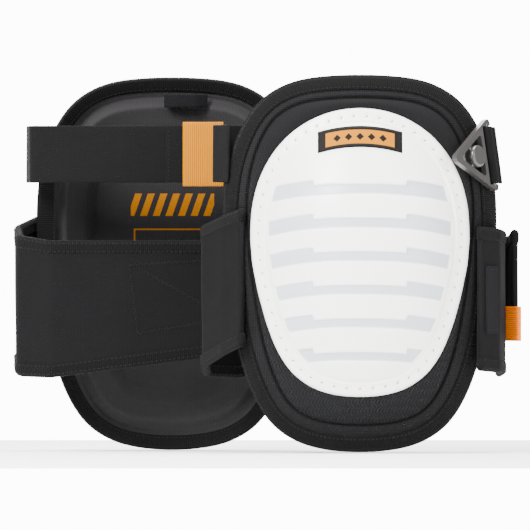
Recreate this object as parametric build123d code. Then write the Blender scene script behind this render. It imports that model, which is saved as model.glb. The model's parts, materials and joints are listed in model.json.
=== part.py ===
from build123d import *
from math import asin, cos, degrees, radians, sin, sqrt, tan
import os

# A pair of strapped hard-cap knee pads.  Each pad is drawn in its own frame:
# X across the knee (+ towards the buckle), Y back towards the leg, Z up from the lower edge.
# The front pad faces -Y, and the part's origin is the middle of its knee cup.
# The rear pad is its mirror image and stands behind it, a step to the side.

os.makedirs("parts", exist_ok=True)

# ---- driving dimensions (millimetres, degrees) ----
PAD_HEIGHT = 250.0
PAD_HALF_WIDTH = 91.0
KNEE_Z = 132.0              # height of the knee's centre above the lower edge
CROSS_RADIUS = 115.0        # curve across the middle of the pad
BLEND_ANGLE = 28.0          # where the wings begin
WING_ANGLE = 66.0           # where the wings end
WING_SPARE = 0.73           # how far the wings' curve runs past the pad's side
TURN_SPARE = 3.0            # how far the upright curve runs past the pad's ends
UPRIGHT_RADIUS = 300.0      # curve from top to bottom

SHELL_THICK = 1.6           # woven outer fabric
FOAM_THICK = 10.0
LINER_THICK = 1.6
FIT = 0.3                   # play between soft layers
BINDING_THICK = 0.9
BINDING_WIDTH = 10.0
RIDGE_OUTER = 15.0          # padded ridge round the knee cup, from the pad's edge
RIDGE_INNER = 40.0
RIDGE_HEIGHT = 6.0
GEL_THICK = 5.0
GEL_HALF_WIDTH = 34.0
GEL_HALF_HEIGHT = 46.0

CAP_HALF_WIDTH = 72.3
CAP_BOTTOM = 36.7
CAP_TOP = 227.9
CAP_WALL = 3.0
FLANGE_WIDTH = 11.0
FLANGE_THICK = 2.5
CROWN_RISE = 16.0           # crown's highest point in front of the fabric
CROWN_CROSS_RADIUS = 78.0
CROWN_UPRIGHT_RADIUS = 158.0
GROOVES = 6
GROOVE_PITCH = 22.05
GROOVE_FIRST_Z = 171.0      # lower edge of the top groove
GROOVE_BLOCK_HEIGHT = 10.0
GROOVE_BLOCK_STEP = 0.15    # each groove is this much lower than the one above
GROOVE_DEPTH = 1.6
GROOVE_BLOCK_X = 30.9
GROOVE_STRIP = 6.6
GROOVE_STRIP_STEP = 0.2
GROOVE_DROOP = 7.5
BADGE_HALF_WIDTH = 28.0
BADGE_HEIGHT = 14.2
BADGE_Z = 209.0
BADGE_ARCH = 4.2
BADGE_THICK = 0.8

ELASTIC_WIDTH = 38.0
ELASTIC_THICK = 1.6
UPPER_STRAP_Z = 198.0       # middle of the upper strap
STRAP_BACK_Y = 92.0         # how far the upper strap stands behind the pad's front
STRAP_GAP = 1.4             # between the two elastics, where the hook patch lies
HEM_WIDTH = 11.0
HEM_THICK = 1.0
TAB_LENGTH = 27.0
TAB_WIDTH = 43.0
TAB_THICK = 1.4
STRAP_END_X = 7.0           # where the upper strap's hem ends
STRAP_ROOT_IN = 4.0
STRAP_SIDE_OUT = 6.0
STRAP_TURN_OUT = 3.0
STRAP_SIDE_BACK = 9.7
WING_SIDE_OUT = 3.6
WING_SIDE_BACK = 5.7
WING_END_OUT = 1.8
WING_END_BACK = 25.7
CALF_SIDE_BACK = 10.7

BUCKLE_ANGLE = 55.0         # slant of the buckle's plane
BUCKLE_LEAN = 14.0          # turn of the buckle in its plane
BUCKLE_Z = 191.0
STUD_SETBACK = 21.7         # stud's distance in front of the buckle's touching line
SLOT_PLAY = 0.6
SLOT_WALL = 1.456           # buckle's side beyond each end of the elastic's slot
BAR_WALL = 0.8
FRAME_HALF_ANGLE = 28.0
FRAME_SIDE = 4.2
FRAME_THICK = 3.6
FRAME_LIFT = 5.2            # middle of the frame above the wing
BAR_DISTANCE = 18.8
BAR_RADIUS = 2.2
BAR_PLAY = 0.05
CROSSBAR_WIDTH = 3.0
SLOT_WIDTH = 4.0
HEAD_RADIUS = 7.3
HEAD_THICK = 2.8
NECK_RADIUS = 3.6
BASE_RADIUS = 7.5
HEAD_PLAY = 0.4
RIVET_RADIUS = 0.9
RIVET_HALF_PITCH = 5.6

CALF_THICK = 4.0
CALF_TOP_Z = 139.6
CALF_BOTTOM_Z = 60.0        # lower edge behind the middle of the pad
CALF_TAPER = 0.129          # rise of the lower edge across the strap
CALF_SLOPE = 0.30           # drop of the strap towards the back
CALF_BACK_Y = 97.0
CALF_OUT = 12.0             # calf strap's sides beyond the pad's
CALF_END = 24.0             # how far the strap comes forward on the buckle side
SEWN_ANGLE = 46.0           # where the calf straps are sewn to the wings
CALF_BINDING = 9.0
WING_TOP_Z = 143.0
WING_BOTTOM_Z = 49.0
PATCH_THICK = 1.2
PATCH_LENGTH = 12.0
PATCH_HEIGHT = 45.0
PATCH_Z = 101.0
HOOK_THICK = 1.4
HOOK_LENGTH = 46.0
LOOP_HEIGHT = 23.0
LOOP_THICK = 1.0
LOOP_GAP = 1.4
LOOP_LENGTH = 12.5
LOOP_Z = 85.0

HANG_WIDTH = 29.0
HANG_THICK = 1.5
HANG_HEIGHT = 9.0
HANG_BOW = 6.0
HANG_X = 9.0

PAIR_X = 125.0              # sideways step from the front pad to the rear pad
PAIR_Y = 195.0              # between the two knee cups

INSET_POINTS = 28
FAR = 400.0                 # longer than anything in the part
CUP_Y = SHELL_THICK + FOAM_THICK + LINER_THICK
WING_RADIUS = (PAD_HALF_WIDTH + WING_SPARE - CROSS_RADIUS * sin(radians(BLEND_ANGLE))) / (
    sin(radians(WING_ANGLE)) - sin(radians(BLEND_ANGLE)))
WING_CENTRE_X = (CROSS_RADIUS - WING_RADIUS) * sin(radians(BLEND_ANGLE))
WING_CENTRE_Y = CROSS_RADIUS - (CROSS_RADIUS - WING_RADIUS) * cos(radians(BLEND_ANGLE))

EDGE_Y = WING_CENTRE_Y - sqrt(WING_RADIUS ** 2 - (PAD_HALF_WIDTH - WING_CENTRE_X) ** 2)
ROOT_Y = WING_CENTRE_Y - sqrt(WING_RADIUS ** 2 - (PAD_HALF_WIDTH - STRAP_ROOT_IN - WING_CENTRE_X) ** 2)
CALF_HALF_WIDTH = PAD_HALF_WIDTH + CALF_OUT
SLOT_LOW = BAR_DISTANCE - BAR_RADIUS - SLOT_WIDTH
FRAME_APEX = (ELASTIC_WIDTH / 2 + SLOT_PLAY + SLOT_WALL) / tan(radians(FRAME_HALF_ANGLE)) - SLOT_LOW
LONGEST_ARM = UPRIGHT_RADIUS - EDGE_Y
TURN = degrees(asin(max(KNEE_Z, PAD_HEIGHT - KNEE_Z) / LONGEST_ARM)) + TURN_SPARE


# ---- curved layers ----
def section_point(angle, depth):
    """Point of the pad's cross section, depth inside the outer fabric."""
    a = radians(abs(angle))
    side = 1 if angle >= 0 else -1
    if abs(angle) <= BLEND_ANGLE:
        r = CROSS_RADIUS - depth
        return (side * r * sin(a), CROSS_RADIUS - r * cos(a))
    r = WING_RADIUS - depth
    return (side * (WING_CENTRE_X + r * sin(a)), WING_CENTRE_Y - r * cos(a))


def section_curve(depth, sign):
    """The section's five-arc curve is drawn as three arcs, from one wing end to the other."""
    stops = [-WING_ANGLE, -BLEND_ANGLE, BLEND_ANGLE, WING_ANGLE]
    stops = [sign * s for s in stops]
    arcs = []
    for a, b in zip(stops, stops[1:]):
        arcs.append(ThreePointArc(section_point(a, depth), section_point((a + b) / 2, depth),
                                  section_point(b, depth)))
    return arcs


def layer(near, far):
    """Doubly curved slab between two depths, as wide and high as the pad and a little more."""
    front = section_curve(near, 1)
    back = section_curve(far, -1)
    ends = [Line(front[-1] @ 1, back[0] @ 0), Line(back[-1] @ 1, front[0] @ 0)]
    face = make_face(front + back + ends)
    axis = Axis((0, UPRIGHT_RADIUS, 0), (1, 0, 0))
    body = revolve(face.rotate(axis, -TURN), axis, revolution_arc=2 * TURN)
    return Pos(0, 0, KNEE_Z) * body


def wing_point(angle, z, depth=0.0):
    """Point of the curved surface on the buckle side, at height z."""
    x, y = section_point(angle, depth)
    r = UPRIGHT_RADIUS - y
    return Vector(x, UPRIGHT_RADIUS - sqrt(r * r - (z - KNEE_Z) ** 2), z)


def mirrored(points):
    """Closed list of outline points from its right half, bottom to top."""
    left = [(-x, z) for x, z in reversed(points[1:-1])]
    return points + left


def prism(sketch):
    """Extrudes an outline drawn in X and Z along Y, through the whole pad."""
    return extrude(Plane.XZ * sketch, amount=FAR, both=True)


def outline(points, inset=0.0):
    """Closed smooth outline, pulled in by the inset along its own normals."""
    edge = Spline(*mirrored(points), periodic=True)
    if not inset:
        return make_face(edge)
    inner = []
    for step in range(INSET_POINTS):
        t = step / INSET_POINTS
        place, along = edge @ t, edge % t
        inner.append((place.X - inset * along.Y, place.Y + inset * along.X))
    return make_face(Spline(*inner, periodic=True))


def pad_outline(inset=0.0):
    w, h = PAD_HALF_WIDTH, PAD_HEIGHT
    half = [(0, 0), (0.23 * w, 0.0055 * h), (0.45 * w, 0.027 * h), (0.63 * w, 0.071 * h),
            (0.754 * w, 0.135 * h), (0.865 * w, 0.24 * h), (0.955 * w, 0.41 * h), (w, 0.6 * h),
            (0.975 * w, 0.735 * h), (0.89 * w, 0.84 * h), (0.73 * w, 0.93 * h), (0.5 * w, 0.98 * h),
            (0.25 * w, 0.9965 * h), (0, h)]
    return outline(half, inset)


def cap_outline(inset=0.0):
    w, low, high = CAP_HALF_WIDTH, CAP_BOTTOM, CAP_TOP - CAP_BOTTOM
    half = [(0, low), (0.24 * w, low + 0.0085 * high), (0.455 * w, low + 0.037 * high),
            (0.645 * w, low + 0.096 * high), (0.79 * w, low + 0.19 * high), (0.91 * w, low + 0.33 * high),
            (0.985 * w, low + 0.47 * high), (w, low + 0.6 * high), (0.955 * w, low + 0.712 * high),
            (0.85 * w, low + 0.81 * high), (0.68 * w, low + 0.895 * high), (0.45 * w, low + 0.958 * high),
            (0.22 * w, low + 0.99 * high), (0, CAP_TOP)]
    return outline(half, inset)


# ---- pad body ----
def outer_shell():
    return layer(0, SHELL_THICK) & prism(pad_outline(BINDING_THICK))


def gel_insert():
    near = SHELL_THICK + FOAM_THICK - GEL_THICK
    oval = Pos(0, KNEE_Z) * Ellipse(GEL_HALF_WIDTH, GEL_HALF_HEIGHT)
    return layer(near, near + GEL_THICK) & prism(oval)


def foam_core():
    body = layer(SHELL_THICK, SHELL_THICK + FOAM_THICK) & prism(pad_outline(3 * BINDING_THICK))
    near = SHELL_THICK + FOAM_THICK - GEL_THICK - FIT
    pocket = Pos(0, KNEE_Z) * Ellipse(GEL_HALF_WIDTH + FIT, GEL_HALF_HEIGHT + FIT)
    return body - (layer(near, CUP_Y + 1) & prism(pocket))


def ridge_band(inset):
    return prism(pad_outline(RIDGE_OUTER + inset)) - prism(pad_outline(RIDGE_INNER - inset))


def ridge_foam():
    near = SHELL_THICK + FOAM_THICK
    return layer(near, near + RIDGE_HEIGHT - FIT) & ridge_band(LINER_THICK + 2 * FIT)


def knee_liner():
    near = SHELL_THICK + FOAM_THICK
    flat = layer(near, CUP_Y) & prism(pad_outline(BINDING_THICK))
    raised = layer(near, CUP_Y + RIDGE_HEIGHT) & ridge_band(0)
    inside = layer(near - 1, near + RIDGE_HEIGHT) & ridge_band(LINER_THICK)
    return flat + raised - inside


def edge_binding():
    ring = prism(pad_outline()) - prism(pad_outline(BINDING_WIDTH))
    tape = layer(-BINDING_THICK, CUP_Y + BINDING_THICK) & ring
    return tape - (layer(0, CUP_Y) & prism(pad_outline(BINDING_THICK)))


# ---- cap ----
def dome(inset):
    """Crown's rounded front: a torus patch that is tighter than the pad's own curve."""
    middle = -CROWN_RISE + CROWN_CROSS_RADIUS
    axis = Axis((0, CROWN_UPRIGHT_RADIUS - CROWN_RISE, 0), (1, 0, 0))
    disc = Pos(0, middle) * Circle(CROWN_CROSS_RADIUS - inset)
    turn = 42.0
    return Pos(0, 0, KNEE_Z) * revolve(disc.rotate(axis, -turn), axis, revolution_arc=2 * turn)


def groove(index):
    """Stepped groove: two end blocks joined by a thin strip, drooping at both ends."""
    low = GROOVE_FIRST_Z - index * GROOVE_PITCH
    block = low + GROOVE_BLOCK_HEIGHT - index * GROOVE_BLOCK_STEP
    strip = low + GROOVE_STRIP - index * GROOVE_STRIP_STEP
    right = [(0, low), (GROOVE_BLOCK_X, low), (CAP_HALF_WIDTH, low - GROOVE_DROOP),
             (CAP_HALF_WIDTH, block - GROOVE_DROOP), (GROOVE_BLOCK_X, block),
             (GROOVE_BLOCK_X, strip), (0, strip)]
    left = [(-x, y) for x, y in reversed(right[1:-1])]
    cut = make_face(Polyline(*right, *left, close=True))
    return prism(cut & cap_outline(FLANGE_WIDTH + 3 * CAP_WALL))


def cap():
    front = layer(-2 * CROWN_RISE, 0)
    crown = dome(0) & prism(cap_outline(FLANGE_WIDTH)) & front
    hollow = dome(CAP_WALL) & prism(cap_outline(FLANGE_WIDTH + CAP_WALL))
    body = (layer(-FLANGE_THICK, 0) & prism(cap_outline())) + crown - hollow
    floor = dome(GROOVE_DEPTH)
    for index in range(GROOVES):
        body -= groove(index) - floor
    return body


def cap_foam():
    inside = dome(CAP_WALL + FIT) & prism(cap_outline(FLANGE_WIDTH + CAP_WALL + FIT))
    return inside & layer(-2 * CROWN_RISE, -FIT)


def cap_badge():
    w, h, z = BADGE_HALF_WIDTH, BADGE_HEIGHT / 2, BADGE_Z
    top = ThreePointArc((-w, z + h - BADGE_ARCH), (0, z + h), (w, z + h - BADGE_ARCH))
    low = ThreePointArc((w, z - h - BADGE_ARCH), (0, z - h), (-w, z - h - BADGE_ARCH))
    face = make_face([top, Line(top @ 1, low @ 0), low, Line(low @ 1, top @ 0)])
    return (dome(-BADGE_THICK) - dome(0)) & prism(face)


# ---- straps ----
def band(points, radius, thick, low, high):
    """Upright band of webbing along a rounded path seen from above."""
    path = FilletPolyline(*points, radius=radius)
    start = Plane(origin=path @ 0, x_dir=(0, 0, 1), z_dir=path % 0)
    strip = sweep(start * Rectangle(high - low, thick), path=path)
    return Pos(0, 0, (low + high) / 2) * strip


def above(z, taper=0.0, slope=0.0):
    """Everything over a slanted plane: z at the middle of the strap's back."""
    plane = Plane(origin=(0, CALF_BACK_Y, z), x_dir=(1, 0, taper), z_dir=(-taper, slope, 1))
    return plane * Box(2 * FAR, 2 * FAR, FAR, align=(Align.CENTER, Align.CENTER, Align.MIN))


UPPER_LOW = UPPER_STRAP_Z - ELASTIC_WIDTH / 2
UPPER_HIGH = UPPER_STRAP_Z + ELASTIC_WIDTH / 2
OUTER_BACK_Y = STRAP_BACK_Y - STRAP_GAP - ELASTIC_THICK


def upper_strap():
    w = PAD_HALF_WIDTH
    path = [(STRAP_ROOT_IN - w, ROOT_Y), (-w - STRAP_SIDE_OUT, EDGE_Y + STRAP_SIDE_BACK),
            (-w - STRAP_TURN_OUT, STRAP_BACK_Y), (STRAP_END_X, STRAP_BACK_Y)]
    return band(path, 5.0, ELASTIC_THICK, UPPER_LOW, UPPER_HIGH)


def strap_hem():
    y = STRAP_BACK_Y + (ELASTIC_THICK + HEM_THICK) / 2
    path = [(STRAP_END_X - HEM_WIDTH, y), (STRAP_END_X, y)]
    return band_straight(path, HEM_THICK, UPPER_LOW, UPPER_HIGH)


def band_straight(points, thick, low, high):
    (x0, y0), (x1, y1) = points
    box = Box(x1 - x0, thick, high - low)
    return Pos((x0 + x1) / 2, y0, (low + high) / 2) * box


def strap_hook_patch():
    y = STRAP_BACK_Y - (ELASTIC_THICK + STRAP_GAP) / 2
    path = [(STRAP_END_X - HOOK_LENGTH, y), (STRAP_END_X, y)]
    return band_straight(path, STRAP_GAP, UPPER_LOW + 1, UPPER_HIGH - 1)


TAB_HINGE_X = STRAP_END_X + FIT


def strap_pull_tab():
    y = STRAP_BACK_Y + ELASTIC_THICK / 2
    path = [(TAB_HINGE_X, y), (TAB_HINGE_X + TAB_LENGTH, y)]
    middle = UPPER_STRAP_Z
    return band_straight(path, TAB_THICK, middle - TAB_WIDTH / 2, middle + TAB_WIDTH / 2)


# ---- buckle ----
def buckle_plane():
    """Plane of the buckle: x along the wing, y up, z away from the pad, origin at the stud."""
    a = radians(BUCKLE_ANGLE)
    touch = wing_point(BUCKLE_ANGLE, BUCKLE_Z)
    tip_back = asin((BUCKLE_Z - KNEE_Z) / (UPRIGHT_RADIUS - section_point(BUCKLE_ANGLE, 0)[1]))
    along = Vector(cos(a), sin(a) * cos(tip_back), -sin(a) * sin(tip_back))
    out = Vector(sin(a), -cos(a) * cos(tip_back), cos(a) * sin(tip_back))
    lean = radians(BUCKLE_LEAN)
    leaned = along * cos(lean) + out.cross(along) * sin(lean)
    return Plane(origin=touch - along * STUD_SETBACK, x_dir=leaned, z_dir=out)


BUCKLE = buckle_plane()


def frame_triangle(side_inset, base_x, rounding):
    """Triangle with its point towards the knee, pulled in from the outer sides."""
    slope = tan(radians(FRAME_HALF_ANGLE))
    tip = -FRAME_APEX + side_inset / sin(radians(FRAME_HALF_ANGLE))
    half = (base_x - tip) * slope
    face = make_face(Polyline((tip, 0), (base_x, half), (base_x, -half), close=True))
    return fillet(face.vertices(), rounding)


def buckle():
    base = BAR_DISTANCE + BAR_RADIUS + BAR_WALL
    outer = frame_triangle(0, base, 3.0)
    opening = frame_triangle(FRAME_SIDE, SLOT_LOW - CROSSBAR_WIDTH, 2.0)
    slot = Pos((base + 1 + SLOT_LOW) / 2, 0) * Rectangle(base + 1 - SLOT_LOW, ELASTIC_WIDTH + 2 * SLOT_PLAY)
    plate = extrude(outer - opening - slot, amount=FRAME_THICK / 2, both=True)
    bar = Pos(BAR_DISTANCE, 0, 0) * Rot(90, 0, 0) * Cylinder(BAR_RADIUS, ELASTIC_WIDTH + 4)
    return BUCKLE * (Pos(0, 0, FRAME_LIFT) * (plate + bar))


def stud_base():
    top = FRAME_LIFT - FRAME_THICK / 2 - FIT
    boss = BUCKLE * extrude(Circle(BASE_RADIUS), amount=top) + BUCKLE * extrude(
        Circle(BASE_RADIUS), amount=-BASE_RADIUS)
    return boss - layer(0, 3 * FOAM_THICK) - stud_holes()


def stud_holes():
    tools = [BUCKLE * (Pos(0, s * RIVET_HALF_PITCH, 0) * Cylinder(RIVET_RADIUS, 30)) for s in (1, -1)]
    return Compound(children=tools)


def stud_rivets():
    top = FRAME_LIFT - FRAME_THICK / 2 - FIT
    shafts = []
    for s in (1, -1):
        pin = extrude(Pos(0, s * RIVET_HALF_PITCH) * Circle(RIVET_RADIUS), amount=top)
        tail = extrude(Pos(0, s * RIVET_HALF_PITCH) * Circle(RIVET_RADIUS), amount=-BASE_RADIUS)
        shafts.append((BUCKLE * (pin + tail)) - layer(0, 3 * FOAM_THICK))
    return Compound(children=shafts)


def stud_knob():
    low = FRAME_LIFT - FRAME_THICK / 2 - FIT
    high = FRAME_LIFT + FRAME_THICK / 2 + HEAD_PLAY
    neck = Pos(0, 0, low) * extrude(Circle(NECK_RADIUS), amount=high - low)
    head = Pos(0, 0, high) * extrude(Circle(HEAD_RADIUS), amount=HEAD_THICK)
    head = fillet(head.edges().group_by(Axis.Z)[-1], 1.8)
    return BUCKLE * (neck + head)


def buckle_strap():
    """Second elastic: a loop round the buckle's bar, then round the wing's edge to the back."""
    inner = BAR_RADIUS + BAR_PLAY
    outer = inner + ELASTIC_THICK
    hole = Circle(inner)
    ring = Circle(outer) + Pos(outer, 0) * Rectangle(2 * outer, 2 * outer)
    sleeve = extrude(ring - hole, amount=ELASTIC_WIDTH / 2, both=True)
    sleeve = Pos(BAR_DISTANCE, 0, FRAME_LIFT) * Rot(90, 0, 0) * sleeve
    sleeve = BUCKLE * sleeve
    bar = BUCKLE.from_local_coords((BAR_DISTANCE + 1.5 * outer, 0, FRAME_LIFT))
    path = [(bar.X, bar.Y), (bar.X + 5.5, bar.Y + 9), (bar.X + 2, OUTER_BACK_Y),
            (STRAP_END_X - HOOK_LENGTH, OUTER_BACK_Y)]
    back = band(path, 5.0, ELASTIC_THICK, UPPER_LOW, UPPER_HIGH)
    return sleeve + back


# ---- calf strap ----
def sewn_start(side, lift):
    """First points of a strap that lies on the wing's outer face."""
    return [section_point(side * a, -lift) for a in (SEWN_ANGLE, SEWN_ANGLE + 12.0)]


def calf_strap_path():
    back = CALF_BACK_Y
    w = CALF_HALF_WIDTH
    start = sewn_start(-1, CALF_THICK / 2 + 2 * BINDING_THICK + FIT)
    return start + [(-w, EDGE_Y + CALF_SIDE_BACK), (-w + 1, back - 12), (-w + 22, back), (w - 24, back), (w - 2, back - 11),
                    (w, back - CALF_END)]


def calf_cut(solid, over=0.0):
    solid = solid - above(CALF_TOP_Z + over, 0, CALF_SLOPE)
    return solid & above(CALF_BOTTOM_Z - over, CALF_TAPER, CALF_SLOPE)


CALF_LOW, CALF_HIGH = 30.0, 175.0


def calf_strap():
    return calf_cut(band(calf_strap_path(), 7.0, CALF_THICK, CALF_LOW, CALF_HIGH))


def calf_binding(upper):
    thick = CALF_THICK + 2 * BINDING_THICK
    tape = calf_cut(band(calf_strap_path(), 7.0, thick, CALF_LOW, CALF_HIGH), BINDING_THICK)
    body = calf_cut(band(calf_strap_path(), 7.0, CALF_THICK, CALF_LOW, CALF_HIGH))
    if upper:
        tape = tape & above(CALF_TOP_Z - CALF_BINDING, 0, CALF_SLOPE)
    else:
        tape = tape - above(CALF_BOTTOM_Z + CALF_BINDING, CALF_TAPER, CALF_SLOPE)
    return tape - body


def calf_hook_panel():
    y = CALF_BACK_Y - (CALF_THICK + HOOK_THICK) / 2 - BINDING_THICK
    low, high = CALF_BOTTOM_Z + 22, CALF_TOP_Z - 12
    return band_straight([(-28, y), (-28 + 2 * HOOK_LENGTH, y)], HOOK_THICK, low, high)


def wing_path():
    w = PAD_HALF_WIDTH
    start = sewn_start(1, CALF_THICK / 2 + 2 * BINDING_THICK + 6 * FIT)
    return start + [(w + WING_SIDE_OUT, EDGE_Y + WING_SIDE_BACK), (w + WING_END_OUT, EDGE_Y + WING_END_BACK)]


def calf_wing():
    body = band(wing_path(), 7.0, CALF_THICK, CALF_LOW, CALF_HIGH)
    body = body - above(WING_TOP_Z, 0, 0.08)
    return body & above(WING_BOTTOM_Z, 0, 0.08)


def webbing_patch():
    near, far = [Vector(*p) for p in wing_path()[0:2]]
    middle = (near + far) / 2
    plane = Plane(origin=(middle.X, middle.Y, PATCH_Z), x_dir=far - near, z_dir=(0, 0, 1))
    lift = (CALF_THICK + PATCH_THICK) / 2 + FIT / 4
    box = Box(PATCH_LENGTH, PATCH_THICK, PATCH_HEIGHT, align=(Align.CENTER, Align.CENTER, Align.CENTER))
    return plane * Pos(0, -lift, 0) * box


LOOP_ROOT = (CALF_HALF_WIDTH - 5.4, CALF_BACK_Y - CALF_END - 5.5)


def calf_pull_loop():
    """Flat loop of webbing that stands out from the strap's end, forward and outward."""
    x, y = LOOP_ROOT
    plane = Plane(origin=(x, y, LOOP_Z), x_dir=(0.7, -0.7, 0), z_dir=(0, 0, 1))
    outer = RectangleRounded(2 * LOOP_LENGTH, LOOP_GAP + 2 * LOOP_THICK, 0.4 * LOOP_GAP + LOOP_THICK)
    inner = RectangleRounded(2 * LOOP_LENGTH - 2 * LOOP_THICK, LOOP_GAP, 0.4 * LOOP_GAP)
    ring = (outer - inner) & Pos(LOOP_LENGTH / 2, 0) * Rectangle(LOOP_LENGTH, 4 * LOOP_GAP)
    return plane * extrude(ring, amount=LOOP_HEIGHT / 2, both=True)


# ---- hang loop ----
def hang_loop():
    """Short webbing that bows off the liner between its two sewn ends."""
    half, bow = HANG_WIDTH / 2, HANG_BOW
    path = [(-half, 0), (-half + 8, bow), (half - 8, bow), (half, 0)]
    strip = band(path, 3.0, HANG_THICK, 0, HANG_HEIGHT)
    top = PAD_HEIGHT - RIDGE_OUTER
    y = wing_point(0, top, CUP_Y + RIDGE_HEIGHT).Y + HANG_THICK / 2 + 7 * FIT
    return Pos(HANG_X, y, top - 0.6 * HANG_HEIGHT) * strip


MAKERS = {
    "outer_shell": outer_shell,
    "foam_core": foam_core,
    "gel_insert": gel_insert,
    "ridge_foam": ridge_foam,
    "knee_liner": knee_liner,
    "edge_binding": edge_binding,
    "cap": cap,
    "cap_foam": cap_foam,
    "cap_badge": cap_badge,
    "upper_strap": upper_strap,
    "strap_hem": strap_hem,
    "strap_hook_patch": strap_hook_patch,
    "strap_pull_tab": strap_pull_tab,
    "buckle_strap": buckle_strap,
    "buckle": buckle,
    "stud_base": stud_base,
    "stud_knob": stud_knob,
    "stud_rivets": stud_rivets,
    "calf_strap": calf_strap,
    "calf_binding_upper": lambda: calf_binding(True),
    "calf_binding_lower": lambda: calf_binding(False),
    "calf_hook_panel": calf_hook_panel,
    "calf_wing": calf_wing,
    "webbing_patch": webbing_patch,
    "calf_pull_loop": calf_pull_loop,
    "hang_loop": hang_loop,
}

for name, make in MAKERS.items():
    piece = make()
    front = Pos(0, -CUP_Y, -KNEE_Z) * piece
    rear = Pos(-PAIR_X, PAIR_Y + CUP_Y, -KNEE_Z) * mirror(piece, about=Plane.XZ)
    export_step(front, f"parts/front_{name}.step")
    export_step(rear, f"parts/rear_{name}.step")
    print(name, round(piece.volume), len(piece.solids()))
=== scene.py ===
import json

import bpy
import numpy as np
from bpy.props import FloatProperty, FloatVectorProperty, PointerProperty
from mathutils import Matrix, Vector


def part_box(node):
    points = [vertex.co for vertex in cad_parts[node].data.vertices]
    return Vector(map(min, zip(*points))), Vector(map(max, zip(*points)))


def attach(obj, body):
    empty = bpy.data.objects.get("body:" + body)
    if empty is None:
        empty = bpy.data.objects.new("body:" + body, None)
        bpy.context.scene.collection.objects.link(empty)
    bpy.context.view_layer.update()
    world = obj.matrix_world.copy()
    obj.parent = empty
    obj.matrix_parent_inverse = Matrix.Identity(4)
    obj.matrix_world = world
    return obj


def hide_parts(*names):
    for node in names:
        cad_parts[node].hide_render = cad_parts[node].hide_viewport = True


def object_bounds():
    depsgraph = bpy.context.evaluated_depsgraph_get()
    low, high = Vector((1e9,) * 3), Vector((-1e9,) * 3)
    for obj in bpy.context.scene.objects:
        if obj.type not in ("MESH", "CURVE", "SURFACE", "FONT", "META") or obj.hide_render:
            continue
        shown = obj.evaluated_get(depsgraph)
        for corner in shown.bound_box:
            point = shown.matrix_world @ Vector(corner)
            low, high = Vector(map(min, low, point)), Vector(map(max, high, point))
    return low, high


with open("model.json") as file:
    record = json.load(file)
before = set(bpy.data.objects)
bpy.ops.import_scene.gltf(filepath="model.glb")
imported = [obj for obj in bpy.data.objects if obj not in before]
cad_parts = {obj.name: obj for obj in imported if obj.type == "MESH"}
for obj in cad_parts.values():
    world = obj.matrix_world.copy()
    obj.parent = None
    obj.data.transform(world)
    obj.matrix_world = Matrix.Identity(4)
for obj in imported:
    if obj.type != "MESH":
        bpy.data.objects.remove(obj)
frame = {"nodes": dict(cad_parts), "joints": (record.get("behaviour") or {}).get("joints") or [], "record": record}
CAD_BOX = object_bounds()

bl_info = {
    "name": "Strapped knee pads",
    "version": (1, 0, 0),
    "blender": (4, 5, 0),
    "location": "View3D > Sidebar > Knee pads",
    "description": "Builds the surfaces of a pair of hard-cap knee pads over their frame",
    "category": "Add Mesh",
}

# Lengths inside this file are millimetres in a pad's own frame:
# x across the knee (+ towards the buckle), y back towards the leg, z up from the lower edge.
KNEE_Z = 132.0
CUP_DEPTH = 13.2            # knee cup's deepest point behind the outer fabric
CROSS_RADIUS = 115.0
WING_RADIUS = 85.0
BLEND_ANGLE = np.radians(28.0)
EDGE_ANGLE = np.radians(67.0)
UPRIGHT_RADIUS = 300.0
WING_X = (CROSS_RADIUS - WING_RADIUS) * np.sin(BLEND_ANGLE)
WING_Y = CROSS_RADIUS - (CROSS_RADIUS - WING_RADIUS) * np.cos(BLEND_ANGLE)
CROWN_RISE = 16.0
CROWN_CROSS_RADIUS = 78.0
CROWN_UPRIGHT_RADIUS = 158.0
PAD_HALF_WIDTH = 91.0
FABRIC_PLAIN_HALF = 73.0    # how far the smooth top fabric reaches to each side
ELASTIC_HALF, ELASTIC_THICK = 19.0, 1.6
CALF_THICK, CALF_BACK_Y = 4.0, 97.0
CALF_DROP, WING_DROP = 0.30, 0.08
TAPE_WIDE, TAPE_OVER = 9.0, 0.9
WING_ANGLES, WING_LIFT, CALF_LIFT = (46, 58), 5.6, 4.1
BAR_REACH = 3.05            # from the buckle bar's middle to the elastic's middle
BADGE_HALF_WIDTH, BADGE_HALF_HEIGHT = 28.0, 7.1
CLOTH_SPECULAR, TAPE_SHEEN = 0.06, 0.012
CAMERA_PLACE, CAMERA_LENS = (-0.06283, -12.0, -0.008), 1232.6
UP, BACK = [[0.0, 0.0, 1.0]], [[0.0, 1.0, 0.0]]
PAD_SHAPE = [(0, 0), (.23, .0055), (.45, .027), (.63, .071), (.754, .135), (.865, .24), (.955, .41),
             (1, .6), (.975, .735), (.89, .84), (.73, .93), (.5, .98), (.25, .9965), (0, 1)]
CAP_SHAPE = [(0, 0), (.24, .0085), (.455, .037), (.645, .096), (.79, .19), (.91, .33), (.985, .47),
             (1, .6), (.955, .712), (.85, .81), (.68, .895), (.45, .958), (.22, .99), (0, 1)]


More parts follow.
